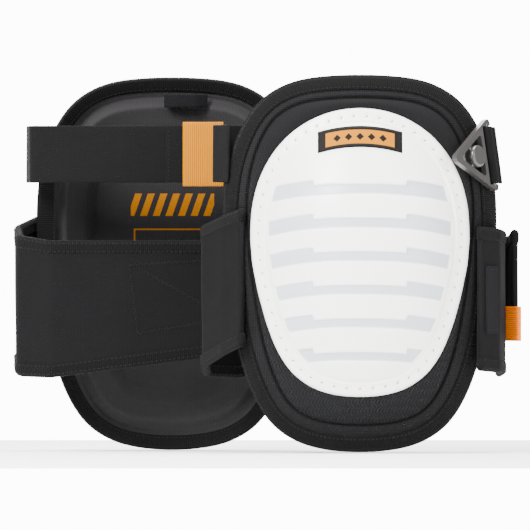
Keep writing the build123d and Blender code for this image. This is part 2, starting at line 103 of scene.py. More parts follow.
# ---------------------------------------------------------------- places
class Pad:
    """One pad of the pair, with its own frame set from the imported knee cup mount."""

    def __init__(self, name):
        mount = next(m for m in frame["record"]["mounts"] if m["name"] == name + "_knee_cup")
        self.name = name
        self.cup = np.array(mount["pos_m"], float)
        self.facing = float(np.sign(mount["axis"][1]))

    def place(self, points):
        """Pad frame in mm to the shared frame in m: a shift, with y reversed on the pad facing back."""
        points = np.asarray(points, float)
        shift = np.stack([points[..., 0], self.facing * (points[..., 1] - CUP_DEPTH),
                          points[..., 2] - KNEE_Z], axis=-1)
        return self.cup + shift / 1000.0

    def box(self, node):
        """A node's lowest and highest corner in the pad's own frame."""
        corners = (np.array([list(c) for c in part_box(self.name + "_" + node)]) - self.cup) * 1000.0
        corners[:, 1] = self.facing * corners[:, 1] + CUP_DEPTH
        corners[:, 2] += KNEE_Z
        return corners.min(0), corners.max(0)


PADS = [Pad("front"), Pad("rear")]
EDGE_LOW, EDGE_HIGH = PADS[0].box("edge_binding")
CAP_LOW, CAP_HIGH = PADS[0].box("cap")
STRAP_LOW, STRAP_HIGH = PADS[0].box("upper_strap")


def smooth(value, start, end):
    """Smooth step: 3t^2 - 2t^3, with t running from 0 at start to 1 at end."""
    t = np.clip((value - start) / (end - start), 0.0, 1.0)
    return t * t * (3 - 2 * t)


def turned_y(section, z, radius, middle):
    """y of a cross section turned about a sideways axis: c - sqrt((c - s)^2 - (z - knee)^2)."""
    arm = radius - section
    return middle - np.sqrt(np.maximum(arm * arm - (z - KNEE_Z) ** 2, 0.0))


def surface_y(x, z, depth):
    """y of the pad's curved layer: a wide arc in the middle and a tighter one on each wing."""
    across = np.abs(x)
    cross, wing = CROSS_RADIUS - depth, WING_RADIUS - depth
    middle = CROSS_RADIUS - np.sqrt(np.maximum(cross ** 2 - across ** 2, 0.0))
    side = WING_Y - np.sqrt(np.maximum(wing ** 2 - (across - WING_X) ** 2, 0.0))
    section = np.where(across <= cross * np.sin(BLEND_ANGLE), middle, side)
    return turned_y(section, z, UPRIGHT_RADIUS, UPRIGHT_RADIUS)


def pad_point(x, z, depth):
    """Point at a depth below the outer fabric; x is softly held inside the pad's slanted side ends."""
    x, z, depth = np.broadcast_arrays(np.asarray(x, float), z, depth)
    limit = WING_X + (WING_RADIUS - depth) * np.sin(EDGE_ANGLE)
    x = np.sign(x) * -np.logaddexp(-np.abs(x), -limit)
    return np.stack([x, surface_y(x, z, depth), z], axis=-1)


def crown_y(x, z):
    """y of the cap's crown: a torus patch, tighter both ways than the pad."""
    section = CROWN_CROSS_RADIUS - CROWN_RISE - np.sqrt(np.maximum(CROWN_CROSS_RADIUS ** 2 - x ** 2, 0.0))
    arm = CROWN_UPRIGHT_RADIUS - CROWN_RISE - section
    return CROWN_UPRIGHT_RADIUS - CROWN_RISE - np.sqrt(np.maximum(arm ** 2 - (z - KNEE_Z) ** 2, 0.0))


def wing_section(angle, lift):
    """Point of the pad's cross section at an angle in degrees, lifted off the outer fabric."""
    turn, reach = np.radians(abs(angle)), WING_RADIUS + lift
    return (np.sign(angle) * (WING_X + reach * np.sin(turn)), WING_Y - reach * np.cos(turn))


def running(lengths):
    """Running total of lengths, from 0."""
    return np.concatenate([[0.0], np.cumsum(lengths)])


def unit(vectors):
    """Each row divided by its own length."""
    return vectors / np.linalg.norm(vectors, axis=1)[:, None]


def resample(points, count):
    """Points evenly spaced by length along a polyline."""
    run = running(np.linalg.norm(np.diff(points, axis=0), axis=1))
    at = np.linspace(0.0, run[-1], count)
    return np.stack([np.interp(at, run, points[:, k]) for k in range(points.shape[1])], axis=-1)


def closed_outline(shape, half_width, low, high, count=1440):
    """Periodic cubic spline through the half outline and its mirror image, evenly resampled by length."""
    half = np.array([(x * half_width, low + z * (high - low)) for x, z in shape])
    p = np.concatenate([half, half[-2:0:-1] * [-1, 1]])
    n, ahead = len(p), np.roll(p, -1, 0)
    h = np.linalg.norm(ahead - p, axis=1)
    slope = (ahead - p) / h[:, None]
    i = np.arange(n)
    system = np.zeros((n, n))
    system[i, i] = 2 * (h + np.roll(h, 1))
    system[i, (i + 1) % n] = h
    system[i, (i - 1) % n] = np.roll(h, 1)
    bend = np.linalg.solve(system, 6 * (slope - np.roll(slope, 1, 0)))
    knots = running(h)
    at = np.linspace(0, knots[-1], 4 * count + 1)
    k = np.clip(np.searchsorted(knots, at, side="right") - 1, 0, n - 1)
    s, hk = (at - knots[k])[:, None], h[k][:, None]
    a, b, ma, mb = p[k], p[(k + 1) % n], bend[k], bend[(k + 1) % n]
    curve = (ma * (hk - s) ** 3 + mb * s ** 3) / (6 * hk)
    curve = curve + (a / hk - ma * hk / 6) * (hk - s) + (b / hk - mb * hk / 6) * s
    return resample(curve, count + 1)[:-1]


def outline_normals(curve):
    """Outward unit normals of a closed outline that runs anticlockwise."""
    along = np.roll(curve, -1, 0) - np.roll(curve, 1, 0)
    return unit(np.stack([along[:, 1], -along[:, 0]], axis=-1))


def nearest(x, z, targets):
    """Distance from every grid point to the nearest of the target points, worked out in blocks."""
    flat = np.stack([x.ravel(), z.ravel()], axis=-1)
    found = np.empty(len(flat))
    for start in range(0, len(flat), 4096):
        block = flat[start:start + 4096, None, :] - targets[None, :, :]
        found[start:start + 4096] = np.sqrt((block ** 2).sum(-1).min(1))
    return found.reshape(x.shape)


def outline_grid(curve, rows, cols, tip=3.0):
    """Grid filling an outline: x = width(z) s(u), with its columns crowded towards the rim."""
    right = curve[:len(curve) // 2 + 1]
    right = right[right[:, 0] > tip]
    width, z = resample(right, rows).T
    u = np.linspace(-1, 1, cols)
    share = 0.5 * u + 0.5 * np.sin(np.pi * u / 2)
    return width[:, None] * share[None, :], np.repeat(z[:, None], cols, axis=1)


PAD_OUTLINE = closed_outline(PAD_SHAPE, PAD_HALF_WIDTH, EDGE_LOW[2], EDGE_HIGH[2])
CAP_OUTLINE = closed_outline(CAP_SHAPE, (CAP_HIGH[0] - CAP_LOW[0]) / 2, CAP_LOW[2], CAP_HIGH[2])


# ---------------------------------------------------------------- meshes
def grid_quads(rows, cols, close_rows=False, close_cols=False):
    """Quads of a grid as vertex numbers, with the grid places of their corners."""
    i, j = np.meshgrid(np.arange(rows if close_rows else rows - 1),
                       np.arange(cols if close_cols else cols - 1), indexing="ij")
    i, j = i.ravel()[:, None] + [0, 1, 1, 0], j.ravel()[:, None] + [0, 0, 1, 1]
    return (i % rows) * cols + j % cols, i, j


def build(pad, title, points, quads, tris=None, quad_uv=None, point_uv=None, values=None):
    """Mesh from whole arrays; its faces are turned outwards by the sign of the volume they enclose."""
    co = pad.place(points)
    tris = np.zeros((0, 3), int) if tris is None else tris
    soup = np.concatenate([quads[:, [0, 1, 2]], quads[:, [0, 2, 3]], tris])
    corner = co[soup] - co.mean(0)
    flip = np.einsum("ij,ij->i", corner[:, 0], np.cross(corner[:, 1], corner[:, 2])).sum() < 0
    if flip:
        quads, tris = quads[:, ::-1], tris[:, ::-1]
        quad_uv = None if quad_uv is None else quad_uv[:, ::-1]
    mesh = bpy.data.meshes.new(pad.name + "_" + title)
    mesh.vertices.add(len(co))
    mesh.vertices.foreach_set("co", co.astype(np.float32).ravel())
    loops = np.concatenate([quads.ravel(), tris.ravel()]).astype(np.int32)
    total = np.concatenate([np.full(len(quads), 4), np.full(len(tris), 3)]).astype(np.int32)
    mesh.loops.add(len(loops))
    mesh.loops.foreach_set("vertex_index", loops)
    mesh.polygons.add(len(total))
    mesh.polygons.foreach_set("loop_start", (np.cumsum(total) - total).astype(np.int32))
    mesh.polygons.foreach_set("use_smooth", np.ones(len(total), bool))
    mesh.update(calc_edges=True)
    if point_uv is not None:
        uv = point_uv[loops]
    elif quad_uv is not None:
        uv = np.concatenate([quad_uv.reshape(-1, 2), np.zeros((tris.size, 2))])
    else:
        uv = points[loops][:, [0, 2]] / 1000.0
    layer = mesh.uv_layers.new(name="surface")
    layer.data.foreach_set("uv", uv.astype(np.float32).ravel())
    for label, value in (values or {}).items():
        attribute = mesh.attributes.new(label, "FLOAT", "POINT")
        attribute.data.foreach_set("value", np.asarray(value, np.float32).ravel())
    mesh.validate()
    piece = bpy.data.objects.new(pad.name + "_" + title, mesh)
    bpy.context.scene.collection.objects.link(piece)
    return piece


def finish_piece(piece, pad, material, body="pad", nodes=(), slot=None):
    """Gives a piece its material and body, and hides the CAD nodes that it stands for."""
    piece.data.materials.append(material)
    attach(piece, pad.name + "_" + body)
    if nodes:
        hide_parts(*[pad.name + "_" + n for n in nodes])
    return piece


def sheet_solid(pad, title, front, back_y, values=None):
    """Closed sheet: a front grid, a rim, and a back of rings shrinking to a pole, at y = back_y(x, z)."""
    rows, cols = front.shape[:2]
    number = np.arange(rows * cols).reshape(rows, cols)
    rim = np.concatenate([number[0, :-1], number[:-1, -1], number[-1, :0:-1], number[:0:-1, 0]])
    flat = front.reshape(-1, 3)
    middle = np.array([0.0, (front[..., 2].min() + front[..., 2].max()) / 2])
    share = np.array([1, .985, .96, .92, .88, .84, .8, .74, .66, .55, .42, .28, .14])[:, None, None]
    ring = middle + share * (flat[rim][None, :, [0, 2]] - middle)
    back = np.stack([ring[..., 0], back_y(ring[..., 0], ring[..., 1]), ring[..., 1]], axis=-1)
    pole = np.array([[0.0, float(back_y(np.array([0.0]), middle[1:])[0]), middle[1]]])
    points = np.concatenate([flat, back.reshape(-1, 3), pole])
    n, levels = len(rim), len(share)
    chain = np.concatenate([rim[None, :], rows * cols + np.arange(n * levels).reshape(levels, n)])
    turn = np.roll(chain, -1, 1)
    front_quads = grid_quads(rows, cols)[0][:, ::-1]
    sides = np.stack([chain[:-1], chain[1:], turn[1:], turn[:-1]], axis=-1).reshape(-1, 4)[:, ::-1]
    fan = np.stack([turn[-1], chain[-1], np.full(n, len(points) - 1)], axis=-1)
    # the rim runs the same way as the front's own rows, so both sets of faces agree
    front_quads, sides = agree(front_quads, sides)
    fan = fan if shares_direction(sides, fan) else fan[:, ::-1]
    pad_out = {k: np.concatenate([np.asarray(v, float).ravel(), np.zeros(len(points) - rows * cols)])
               for k, v in (values or {}).items()}
    return build(pad, title, points, np.concatenate([front_quads, sides]), fan, values=pad_out)


def directed(faces):
    """Set of directed edges of a face array, each coded as one number."""
    return (faces.astype(np.int64) << 32 | np.roll(faces, -1, 1).astype(np.int64)).ravel()


def shares_direction(first, second):
    """True where two face sets meet properly: no directed edge is used by both."""
    return not np.isin(directed(second), directed(first)).any()


def agree(first, second):
    """Turns the second face set round if it runs against the first along their common edge."""
    return first, second if shares_direction(first, second) else second[:, ::-1]


class Band:
    """Flat webbing on a line: P = C + v U + w N, N = T x U, with (v, w) round a rounded flat section."""

    def __init__(self, centre, half, thick, up=(0.0, 0.0, 1.0), wave=0.0, crown=0.0):
        self.centre = np.asarray(centre, float)
        count = len(self.centre)
        self.half = np.broadcast_to(np.asarray(half, float), (count,))
        self.thick = thick
        self.up = np.broadcast_to(np.asarray(up, float), (count, 3))
        self.along = unit(np.gradient(self.centre, axis=0))
        self.normal = unit(np.cross(self.along, self.up))
        self.run = running(np.linalg.norm(np.diff(self.centre, axis=0), axis=1))
        self.wave, self.crown = wave, crown

    def section(self, flats=13, arcs=7):
        """Section corners (v, w): two flat faces joined by half circles, anticlockwise."""
        r = self.thick / 2
        turn = np.linspace(-np.pi / 2, np.pi / 2, arcs)
        core = (self.half - r)[:, None]
        line = np.linspace(1, -1, flats + 2)[1:-1]
        bulge = r * np.cos(turn)
        v = np.concatenate([core + bulge, core * line, -core - bulge, -core * line], 1)
        w = np.concatenate([r * np.sin(turn), np.full(flats, r), -r * np.sin(turn), np.full(flats, -r)])
        w = np.broadcast_to(w, v.shape) * (1 + self.crown * (1 - (v / self.half[:, None]) ** 2))
        return v, w

    def ripple(self, s, v):
        """Soft unevenness of cloth: a sum of three slow sines of length and height."""
        return self.wave * (np.sin(s / 17.0 + v / 29.0) + 0.6 * np.sin(s / 9.1 - v / 15.0 + 1.3)
                            + 0.4 * np.sin(s / 5.3 + v / 8.0 + 2.1))

    def make(self, pad, title):
        """Mesh of the whole band, with both ends closed by a rounded cap that shrinks to a pole."""
        v, w = self.section()
        w = w + self.ripple(self.run[:, None], v)
        rings = (self.centre[:, None] + v[..., None] * self.up[:, None]
                 + w[..., None] * self.normal[:, None])
        count, corners = v.shape
        quads, i, j = grid_quads(count, corners, close_cols=True)
        corner = np.stack([v[0], w[0]], -1)
        around = running(np.linalg.norm(np.diff(corner, axis=0, append=corner[:1]), axis=1))
        quad_uv = np.stack([self.run[i], around[j]], axis=-1) / 1000.0
        ends = self.centre[[0, -1]] + self.along[[0, -1]] * np.array([[-0.25], [0.25]]) * self.thick
        points = np.concatenate([rings.reshape(-1, 3), ends])
        first, last = np.arange(corners), (count - 1) * corners + np.arange(corners)
        low = np.stack([np.roll(first, -1), first, np.full(corners, len(points) - 2)], -1)
        high = np.stack([last, np.roll(last, -1), np.full(corners, len(points) - 1)], -1)
        tris = np.concatenate([t if shares_direction(quads, t) else t[:, ::-1] for t in (low, high)])
        return build(pad, title, points, quads, tris, quad_uv=quad_uv)

    def row(self, height, face, pitch, start=2.0, end=2.0):
        """Places, directions and normals for stitches at a height from the middle (or an array of them)."""
        at = np.arange(start, self.run[-1] - end, pitch)

        def take(values):
            return np.stack([np.interp(at, self.run, values[:, k]) for k in range(3)], -1)

        height = np.interp(at, self.run, np.broadcast_to(height, self.run.shape))[:, None]
        reach = face * (self.thick / 2 * (1 + self.crown * 0.3)) + self.ripple(at[:, None], height)
        normal = take(self.normal)
        return take(self.centre) + take(self.up) * height + normal * reach, take(self.along), face * normal


def stitches(pad, title, places, along, normal, length, width, height):
    """Many small closed threads: one 14-corner bead, stretched along its row, at every place."""
    turn = np.arange(6) * np.pi / 3
    ring = np.stack([np.zeros(6), np.cos(turn), np.sin(turn)], -1)
    bead = np.concatenate([[[-1, 0, 0]], ring * [1, .85, .85] + [-.55, 0, 0],
                           ring * [1, .85, .85] + [.55, 0, 0], [[1, 0, 0]]])
    k = np.arange(6)
    nxt = (k + 1) % 6
    quads = np.stack([1 + k, 7 + k, 7 + nxt, 1 + nxt], -1)
    tris = np.concatenate([np.stack([np.zeros(6, int), 1 + k, 1 + nxt], -1),
                           np.stack([np.full(6, 13), 7 + nxt, 7 + k], -1)])
    along = unit(along)
    side = unit(np.cross(normal, along))
    up = np.cross(along, side)
    size = np.array([length, width, height]) / 2
    points = (places[:, None] + bead[None, :, 0:1] * size[0] * along[:, None]
              + bead[None, :, 1:2] * size[1] * side[:, None] + bead[None, :, 2:3] * size[2] * up[:, None])
    shift = 14 * np.arange(len(places))[:, None, None]
    uv = np.tile(bead[:, :2] * 0.001, (len(places), 1))
    return build(pad, title, points.reshape(-1, 3), (quads + shift).reshape(-1, 4),
                 (tris + shift).reshape(-1, 3), point_uv=uv)


def sew(pad, title, rows, size, kind="thread", body="pad"):
    """Stitches of one length, width and height, from (places, directions, normals), with their thread."""
    finish_piece(stitches(pad, title, *rows, *size), pad, finish(kind), body)


def upright_row(x, y, low, high, pitch=2.6):
    """Places, directions and normals of a plumb row of stitches on a face that looks back."""
    rise = np.arange(low, high, pitch)
    places = np.stack([np.full_like(rise, x), np.full_like(rise, y), rise], -1)
    return places, np.tile(UP, (len(rise), 1)), np.tile(BACK, (len(rise), 1))


def joined(rows):
    """Several rows of stitches as one."""
    return [np.concatenate(part) for part in zip(*rows)]


def rounded_path(points, radius, step=1.2):
    """Straight runs joined by tangent arcs: each corner is cut back by r tan(turn / 2)."""
    points = [np.array(p, float) for p in points]
    line = [points[0][None]]
    for before, corner, after in zip(points, points[1:], points[2:]):
        a, b = before - corner, after - corner
        la, lb = np.linalg.norm(a), np.linalg.norm(b)
        a, b = a / la, b / lb
        opening = np.arccos(np.clip(a @ b, -1, 1))
        cut = min(radius / np.tan(opening / 2), 0.45 * la, 0.45 * lb)
        t = np.linspace(0, 1, 12)[:, None]
        start, end = corner + a * cut, corner + b * cut
        weight = np.sin(opening / 2)
        shape = (1 - t) ** 2 + 2 * weight * t * (1 - t) + t ** 2
        line.append(((1 - t) ** 2 * start + 2 * weight * t * (1 - t) * corner + t ** 2 * end) / shape)
    line.append(points[-1][None])
    line = np.concatenate(line)
    length = np.linalg.norm(np.diff(line, axis=0), axis=1).sum()
    return resample(line, max(int(length / step), 8))


def upright_band(path, low, high, thick, **more):
    """Band that stands upright along a path seen from above, between two heights."""
    low = np.broadcast_to(low, (len(path),))
    high = np.broadcast_to(high, (len(path),))
    centre = np.column_stack([path, (low + high) / 2])
    return Band(centre, (high - low) / 2, thick, **more)


def put_bands(pad, table, body="pad"):
    """Makes each band of a table: band, title, finish, the CAD nodes that it stands for, and slot."""
    for band, title, kind, nodes, slot in table:
        finish_piece(band.make(pad, title), pad, finish(kind), body, nodes, slot)


# ---------------------------------------------------------------- materials
def tone(red, green, blue):
    """Display colour from 0 to 255, turned to linear light."""
    c = np.array([red, green, blue]) / 255.0
    return tuple(np.where(c <= 0.04045, c / 12.92, ((c + 0.055) / 1.055) ** 2.4))


class Finish:
    """Small builder of a node material; uniform values go straight on the shader's own sockets."""

    def __init__(self, name, rough, metal=0.0, sheen=0.0, coat=0.0, subsurface=0.0,
                 specular=0.5):
        self.material = bpy.data.materials.new(name)
        self.material.use_nodes = True
        self.tree = self.material.node_tree
        self.shader = next(n for n in self.tree.nodes if n.type == "BSDF_PRINCIPLED")
        for socket, value in (("Roughness", rough), ("Metallic", metal), ("Sheen Weight", sheen),
                              ("Sheen Roughness", 0.5), ("Coat Weight", coat), ("Coat Roughness", 0.25),
                              ("Subsurface Weight", subsurface), ("Subsurface Scale", 0.002),
                              ("Specular IOR Level", specular)):
            self.shader.inputs[socket].default_value = value

    def node(self, kind, **settings):
        """A new node with its settings."""
        made = self.tree.nodes.new(kind)
        for key, value in settings.items():
            setattr(made, key, value)
        return made

    def put(self, socket, value):
        """Links a socket into another, or sets its value."""
        if isinstance(value, bpy.types.NodeSocket):
            self.tree.links.new(value, socket)
        else:
            socket.default_value = value

    def calc(self, operation, a, b=0.0):
        """Output of one math node."""
        made = self.node("ShaderNodeMath", operation=operation)
        self.put(made.inputs[0], a)
        self.put(made.inputs[1], b)
        return made.outputs[0]

    def times(self, a, b):
        """a times b."""
        return self.calc("MULTIPLY", a, b)

    def plus(self, a, b):
        """a plus b."""
        return self.calc("ADD", a, b)

    def sine(self, value, pitch):
        """sin(pi value / pitch)."""
        return self.calc("SINE", self.times(value, np.pi / pitch))

    def basket(self, u, v, pitch):
        """|sin(pi u / pitch) sin(pi v / pitch)|."""
        return self.calc("ABSOLUTE", self.times(self.sine(u, pitch), self.sine(v, pitch)))

    def uv(self):
        """The piece's own u and v."""
        split = self.node("ShaderNodeSeparateXYZ")
        self.put(split.inputs[0], self.node("ShaderNodeUVMap", uv_map="surface").outputs[0])
        return split.outputs[0], split.outputs[1]

    def place(self):
        """Object coordinates."""
        return self.node("ShaderNodeTexCoord").outputs["Object"]

    def value(self, name):
        """A point attribute of the piece."""
        return self.node("ShaderNodeAttribute", attribute_name=name).outputs["Fac"]

    def noise(self, scale, detail=3.0, rough=0.55):
        """Noise on Object coordinates."""
        made = self.node("ShaderNodeTexNoise")
        self.put(made.inputs["Vector"], self.place())
        made.inputs["Scale"].default_value = scale
        made.inputs["Detail"].default_value = detail
        made.inputs["Roughness"].default_value = rough
        return made.outputs[0]

    def mix(self, share, first, second):
        """Colour between two, by share."""
        made = self.node("ShaderNodeMix", data_type="RGBA")
        self.put(made.inputs[0], share)
        for socket, value in ((made.inputs[6], first), (made.inputs[7], second)):
            self.put(socket, value if isinstance(value, bpy.types.NodeSocket) else (*value, 1.0))
        return made.outputs[2]

    def wave(self, value, pitch, phase=0.0):
        """sin(2 pi value / pitch + phase), moved to run from 0 to 1."""
        turn = self.plus(self.times(value, 2 * np.pi / pitch), phase)
        return self.times(self.plus(self.calc("SINE", turn), 1.0), 0.5)

    def inside(self, value, low, high):
        """1 between two values and 0 outside them."""
        return self.times(self.calc("GREATER_THAN", value, low), self.calc("LESS_THAN", value, high))

    def bump(self, height, distance, strength=1.0):
        """Height as small relief in the shader."""
        made = self.node("ShaderNodeBump")
        made.inputs["Strength"].default_value = strength
        made.inputs["Distance"].default_value = distance
        self.put(made.inputs["Height"], height)
        self.put(self.shader.inputs["Normal"], made.outputs[0])

    def colour(self, value):
        """Base colour; gives back the finished material."""
        self.put(self.shader.inputs["Base Color"], value)
        return self.material


MADE = {}


def kept(name, maker):
    """The material of that name, made once."""
    if name not in MADE:
        MADE[name] = maker(name)
    return MADE[name]


def shade(colour, factor):
    """Lighter or darker copy of a colour."""
    return tuple(min(c * factor, 1.0) for c in colour)


def cloth(colour, pattern, pitch, relief, rough=0.85, sheen=0.01, contrast=0.45, extra=None):
    """Maker of a cloth finish: a woven height from sines of the piece's own UV, broken up by noise."""

    def maker(name):
        f = Finish(name, rough, sheen=sheen, specular=CLOTH_SPECULAR)
        u, v = f.uv()
        if pattern == "ribs":
            height = f.wave(u, pitch)
        elif pattern == "ribs_up":
            height = f.wave(v, pitch)
        elif pattern == "twill":
            height = f.wave(f.plus(u, v), pitch)
        elif pattern == "knit":
            slanted = f.plus(v, f.times(u, 0.5))
            height = f.times(f.wave(u, pitch), f.wave(slanted, pitch))
        else:
            height = f.basket(u, v, pitch)
        fuzz = f.noise(1400.0, 2.0)
        patch = f.noise(38.0, 4.0)
        height = f.plus(height, f.times(fuzz, 0.35))
        f.bump(height, relief)
        thread = f.mix(f.times(height, 0.7), shade(colour, 1 - contrast),
                       shade(colour, 1 + contrast))
        worn = f.mix(f.times(patch, 0.3), thread, shade(colour, 1.5))
        return f.colour(extra(f, u, v, worn) if extra else worn)

    return maker


def moulded(colour, rough, grain, relief, coat=0.0, subsurface=0.0, attribute=None, other=None):
    """Maker of a moulded finish: fine grain, slow tone changes, a second colour by an attribute."""

    def maker(name):
        f = Finish(name, rough, coat=coat, subsurface=subsurface)
        fine, slow = f.noise(grain, 2.0), f.noise(22.0, 4.0)
        f.bump(fine, relief)
        base = f.mix(slow, shade(colour, 0.94), shade(colour, 1.04))
        if attribute:
            base = f.mix(f.value(attribute), base, other)
        return f.colour(base)

    return maker


def brushed_steel(name):
    """Rivet heads: metal with streaks stretched along one direction."""
    f = Finish(name, 0.34, metal=1.0)
    streak = f.noise(900.0, 5.0, 0.7)
    f.bump(streak, 0.00004)
    return f.colour(f.mix(streak, (0.42, 0.42, 0.42), (0.68, 0.67, 0.66)))


def settings():
    """The scene's colours and sizes."""
    return bpy.context.scene.knee_pad_colours, bpy.context.scene.knee_pad_sizes


def finish(kind):
    """Material of one of the object's own finishes."""
    c, s = settings()
    weave = s.weave_pitch
    tables = {
        "cap": lambda: moulded(tuple(c.cap), 0.36, 900.0, 0.00004, coat=0.12, subsurface=0.06,
                               attribute="groove", other=tuple(c.groove)),
        "shell": lambda: shell_cloth(tuple(c.fabric), weave),
        "binding": lambda: cloth(tuple(c.binding), "ribs", 0.0013, 0.00035, sheen=TAPE_SHEEN),
        "liner": lambda: cloth(tuple(c.liner), "knit", 0.0012, 0.00015, rough=0.78,
                               extra=amber_print(tuple(c.amber))),
        "elastic": lambda: cloth(tuple(c.elastic), "knit", 0.0013, 0.0002, sheen=TAPE_SHEEN),
        "neoprene": lambda: cloth(tuple(c.neoprene), "knit", 0.0013, 0.00014, rough=0.8, sheen=TAPE_SHEEN),
        "webbing": lambda: cloth(tuple(c.webbing), "twill", 0.0016, 0.0004),
        "hook": lambda: cloth(tuple(c.elastic), "weave", 0.0009, 0.0006, rough=0.95),
        "tab": lambda: cloth(tuple(c.amber), "ribs", 0.0014, 0.0003, rough=0.6, contrast=0.2),
        "loop": lambda: cloth(tuple(c.orange), "ribs_up", 0.0014, 0.0003, rough=0.6, contrast=0.2),
        "thread": lambda: cloth(tuple(c.thread), "ribs", 0.0004, 0.0001, rough=0.6),
        "cap_thread": lambda: cloth(tuple(c.cap_thread), "ribs", 0.0004, 0.0001, rough=0.5),
        "badge": lambda: badge_rubber(tuple(c.amber)),
        "buckle": lambda: moulded(tuple(c.buckle), 0.3, 1100.0, 0.00005, coat=0.25),
        "foam": lambda: moulded((0.25, 0.25, 0.26), 0.9, 1500.0, 0.0004),
        "gel": lambda: moulded((0.2, 0.35, 0.55), 0.25, 60.0, 0.0002, coat=0.4),
        "steel": lambda: brushed_steel,
    }
    return kept("knee_pad_" + kind, tables[kind]())


def shell_cloth(colour, pitch):
    """Outer fabric: a basket weave on the band, a finer one inside, and a smooth top, mixed by attributes."""

    def maker(name):
        f = Finish(name, 0.82, sheen=TAPE_SHEEN, specular=CLOTH_SPECULAR)
        u, v = f.uv()
        chevron = f.times(f.calc("ABSOLUTE", f.sine(v, 0.006)), 0.002)
        twill = f.wave(f.plus(u, chevron), 0.0022)
        inner, plain = f.value("inner"), f.value("plain")
        woven = f.plus(f.times(f.basket(u, v, pitch), f.calc("SUBTRACT", 1.0, inner)), f.times(twill, inner))
        woven = f.times(woven, f.calc("SUBTRACT", 1.0, f.times(plain, 0.75)))
        height = f.plus(woven, f.times(f.noise(1300.0, 2.0), 0.3))
        f.bump(height, 0.00045)
        thread = f.mix(f.times(height, 0.75), shade(colour, 0.5), shade(colour, 1.5))
        worn = f.mix(f.times(f.noise(30.0, 4.0), 0.3), thread, shade(colour, 1.6))
        return f.colour(f.mix(f.value("seam"), worn, shade(colour, 0.3)))

    return maker


def amber_print(amber):
    """Generic print on the liner: a row of leaning bars with a thin frame below them."""

    def extra(f, u, v, base):
        lean = f.plus(u, f.times(v, -0.35))
        bars = f.calc("GREATER_THAN", f.wave(lean, 0.0085), 0.42)
        bars = f.times(bars, f.times(f.inside(v, 0.157, 0.172), f.inside(u, -0.028, 0.028)))
        outer = f.times(f.inside(v, 0.1395, 0.1485), f.inside(u, -0.026, 0.026))
        inner = f.times(f.inside(v, 0.1405, 0.1475), f.inside(u, -0.025, 0.025))
        drawn = f.calc("MAXIMUM", bars, f.calc("SUBTRACT", outer, inner))
        return f.mix(f.times(drawn, f.value("print")), base, amber)

    return extra


def badge_rubber(amber):
    """Arched plate: black rubber with an amber field that holds a row of plain black diamonds."""

    def maker(name):
        f = Finish(name, 0.6, specular=CLOTH_SPECULAR)
        u, v = f.uv()
        field = f.times(f.inside(u, -0.0228, 0.0228), f.inside(v, -0.0046, 0.0046))
        along = f.calc("FRACT", f.plus(f.calc("DIVIDE", u, 0.0076), 0.5))
        cell = f.calc("ABSOLUTE", f.calc("SUBTRACT", along, 0.5))
        diamond = f.plus(f.times(cell, 2.2), f.calc("DIVIDE", f.calc("ABSOLUTE", v), 0.0032))
        ends = f.calc("GREATER_THAN", f.calc("ABSOLUTE", u), 0.019)
        drawn = f.times(field, f.calc("MAXIMUM", f.calc("GREATER_THAN", diamond, 0.75), ends))
        grain = f.noise(1200.0, 2.0)
        f.bump(f.plus(grain, drawn), 0.0001)
        black = f.mix(grain, (0.004, 0.0037, 0.0035), (0.008, 0.0075, 0.007))
        return f.colour(f.mix(drawn, black, f.mix(grain, shade(amber, 0.92), amber)))

    return maker


# ---------------------------------------------------------------- sizes and colours
def length(name, text, default):
    """A length in metres."""
    return FloatProperty(name=name, description=text, default=default, min=0.0,
                         subtype="DISTANCE", unit="LENGTH")


def paint(name, text, default):
    """A colour in linear light."""
    return FloatVectorProperty(name=name, description=text, default=default, size=3, min=0.0, max=1.0,
                               subtype="COLOR")


class KneePadSizes(bpy.types.PropertyGroup):
    """Sizes that shape the visible surfaces."""
    groove_depth: length("Groove depth", "How deep the cap's grooves are", 0.0016)
    binding_width: length("Binding width", "Visible width of the edge tape", 0.0098)
    ridge_height: length("Ridge height", "Height of the moulded ridge round the knee", 0.006)
    weave_pitch: length("Weave pitch", "Spacing of the outer fabric's threads", 0.0015)
    stitch_pitch: length("Stitch pitch", "Spacing of the stitches on the edge tape", 0.003)
    cap_stitch_pitch: length("Cap stitch pitch", "Spacing of the stitches round the cap", 0.0092)


class KneePadColours(bpy.types.PropertyGroup):
    """Colours of the finishes."""
    cap: paint("Cap", "Moulded cap", tone(255, 250, 246))
    groove: paint("Groove", "Recessed floors of the cap's grooves", tone(188, 192, 198))
    fabric: paint("Fabric", "Woven outer fabric", tone(19, 19, 20))
    binding: paint("Binding", "Edge tape", tone(12, 12, 12))
    liner: paint("Liner", "Knee side of the pad", tone(42, 41, 42))
    elastic: paint("Elastic", "Upper straps", tone(15, 15, 15))
    neoprene: paint("Neoprene", "Calf straps", tone(14, 13, 14))
    webbing: paint("Webbing", "Patches and hanging loop", tone(17, 16, 18))
    thread: paint("Thread", "Stitches in the cloth", tone(25, 24, 25))
    cap_thread: paint("Cap thread", "Stitches round the cap", tone(120, 116, 113))
    amber: paint("Amber", "Pull tab and printed marks", tone(160, 98, 0))
    orange: paint("Orange", "Small pull loop", tone(208, 104, 0))
    buckle: paint("Buckle", "Buckle and its stud", tone(46, 43, 43))


# ---------------------------------------------------------------- the pieces
CALF_PATH = rounded_path([*(wing_section(-a, CALF_LIFT) for a in WING_ANGLES), (-103, 63), (-102, 85),
                          (-81, CALF_BACK_Y), (79, CALF_BACK_Y), (101, 86), (103, 73)], 7.0)
WING_ROOT = [wing_section(a, WING_LIFT) for a in WING_ANGLES]
WING_PATH = rounded_path([*WING_ROOT, (94.6, 58), (92.8, 78)], 7.0)


def calf_high(path, over=0.0):
    """Upper edge of the calf strap: it drops as the strap goes back."""
    return 139.6 + CALF_DROP * (CALF_BACK_Y - path[:, 1]) + over


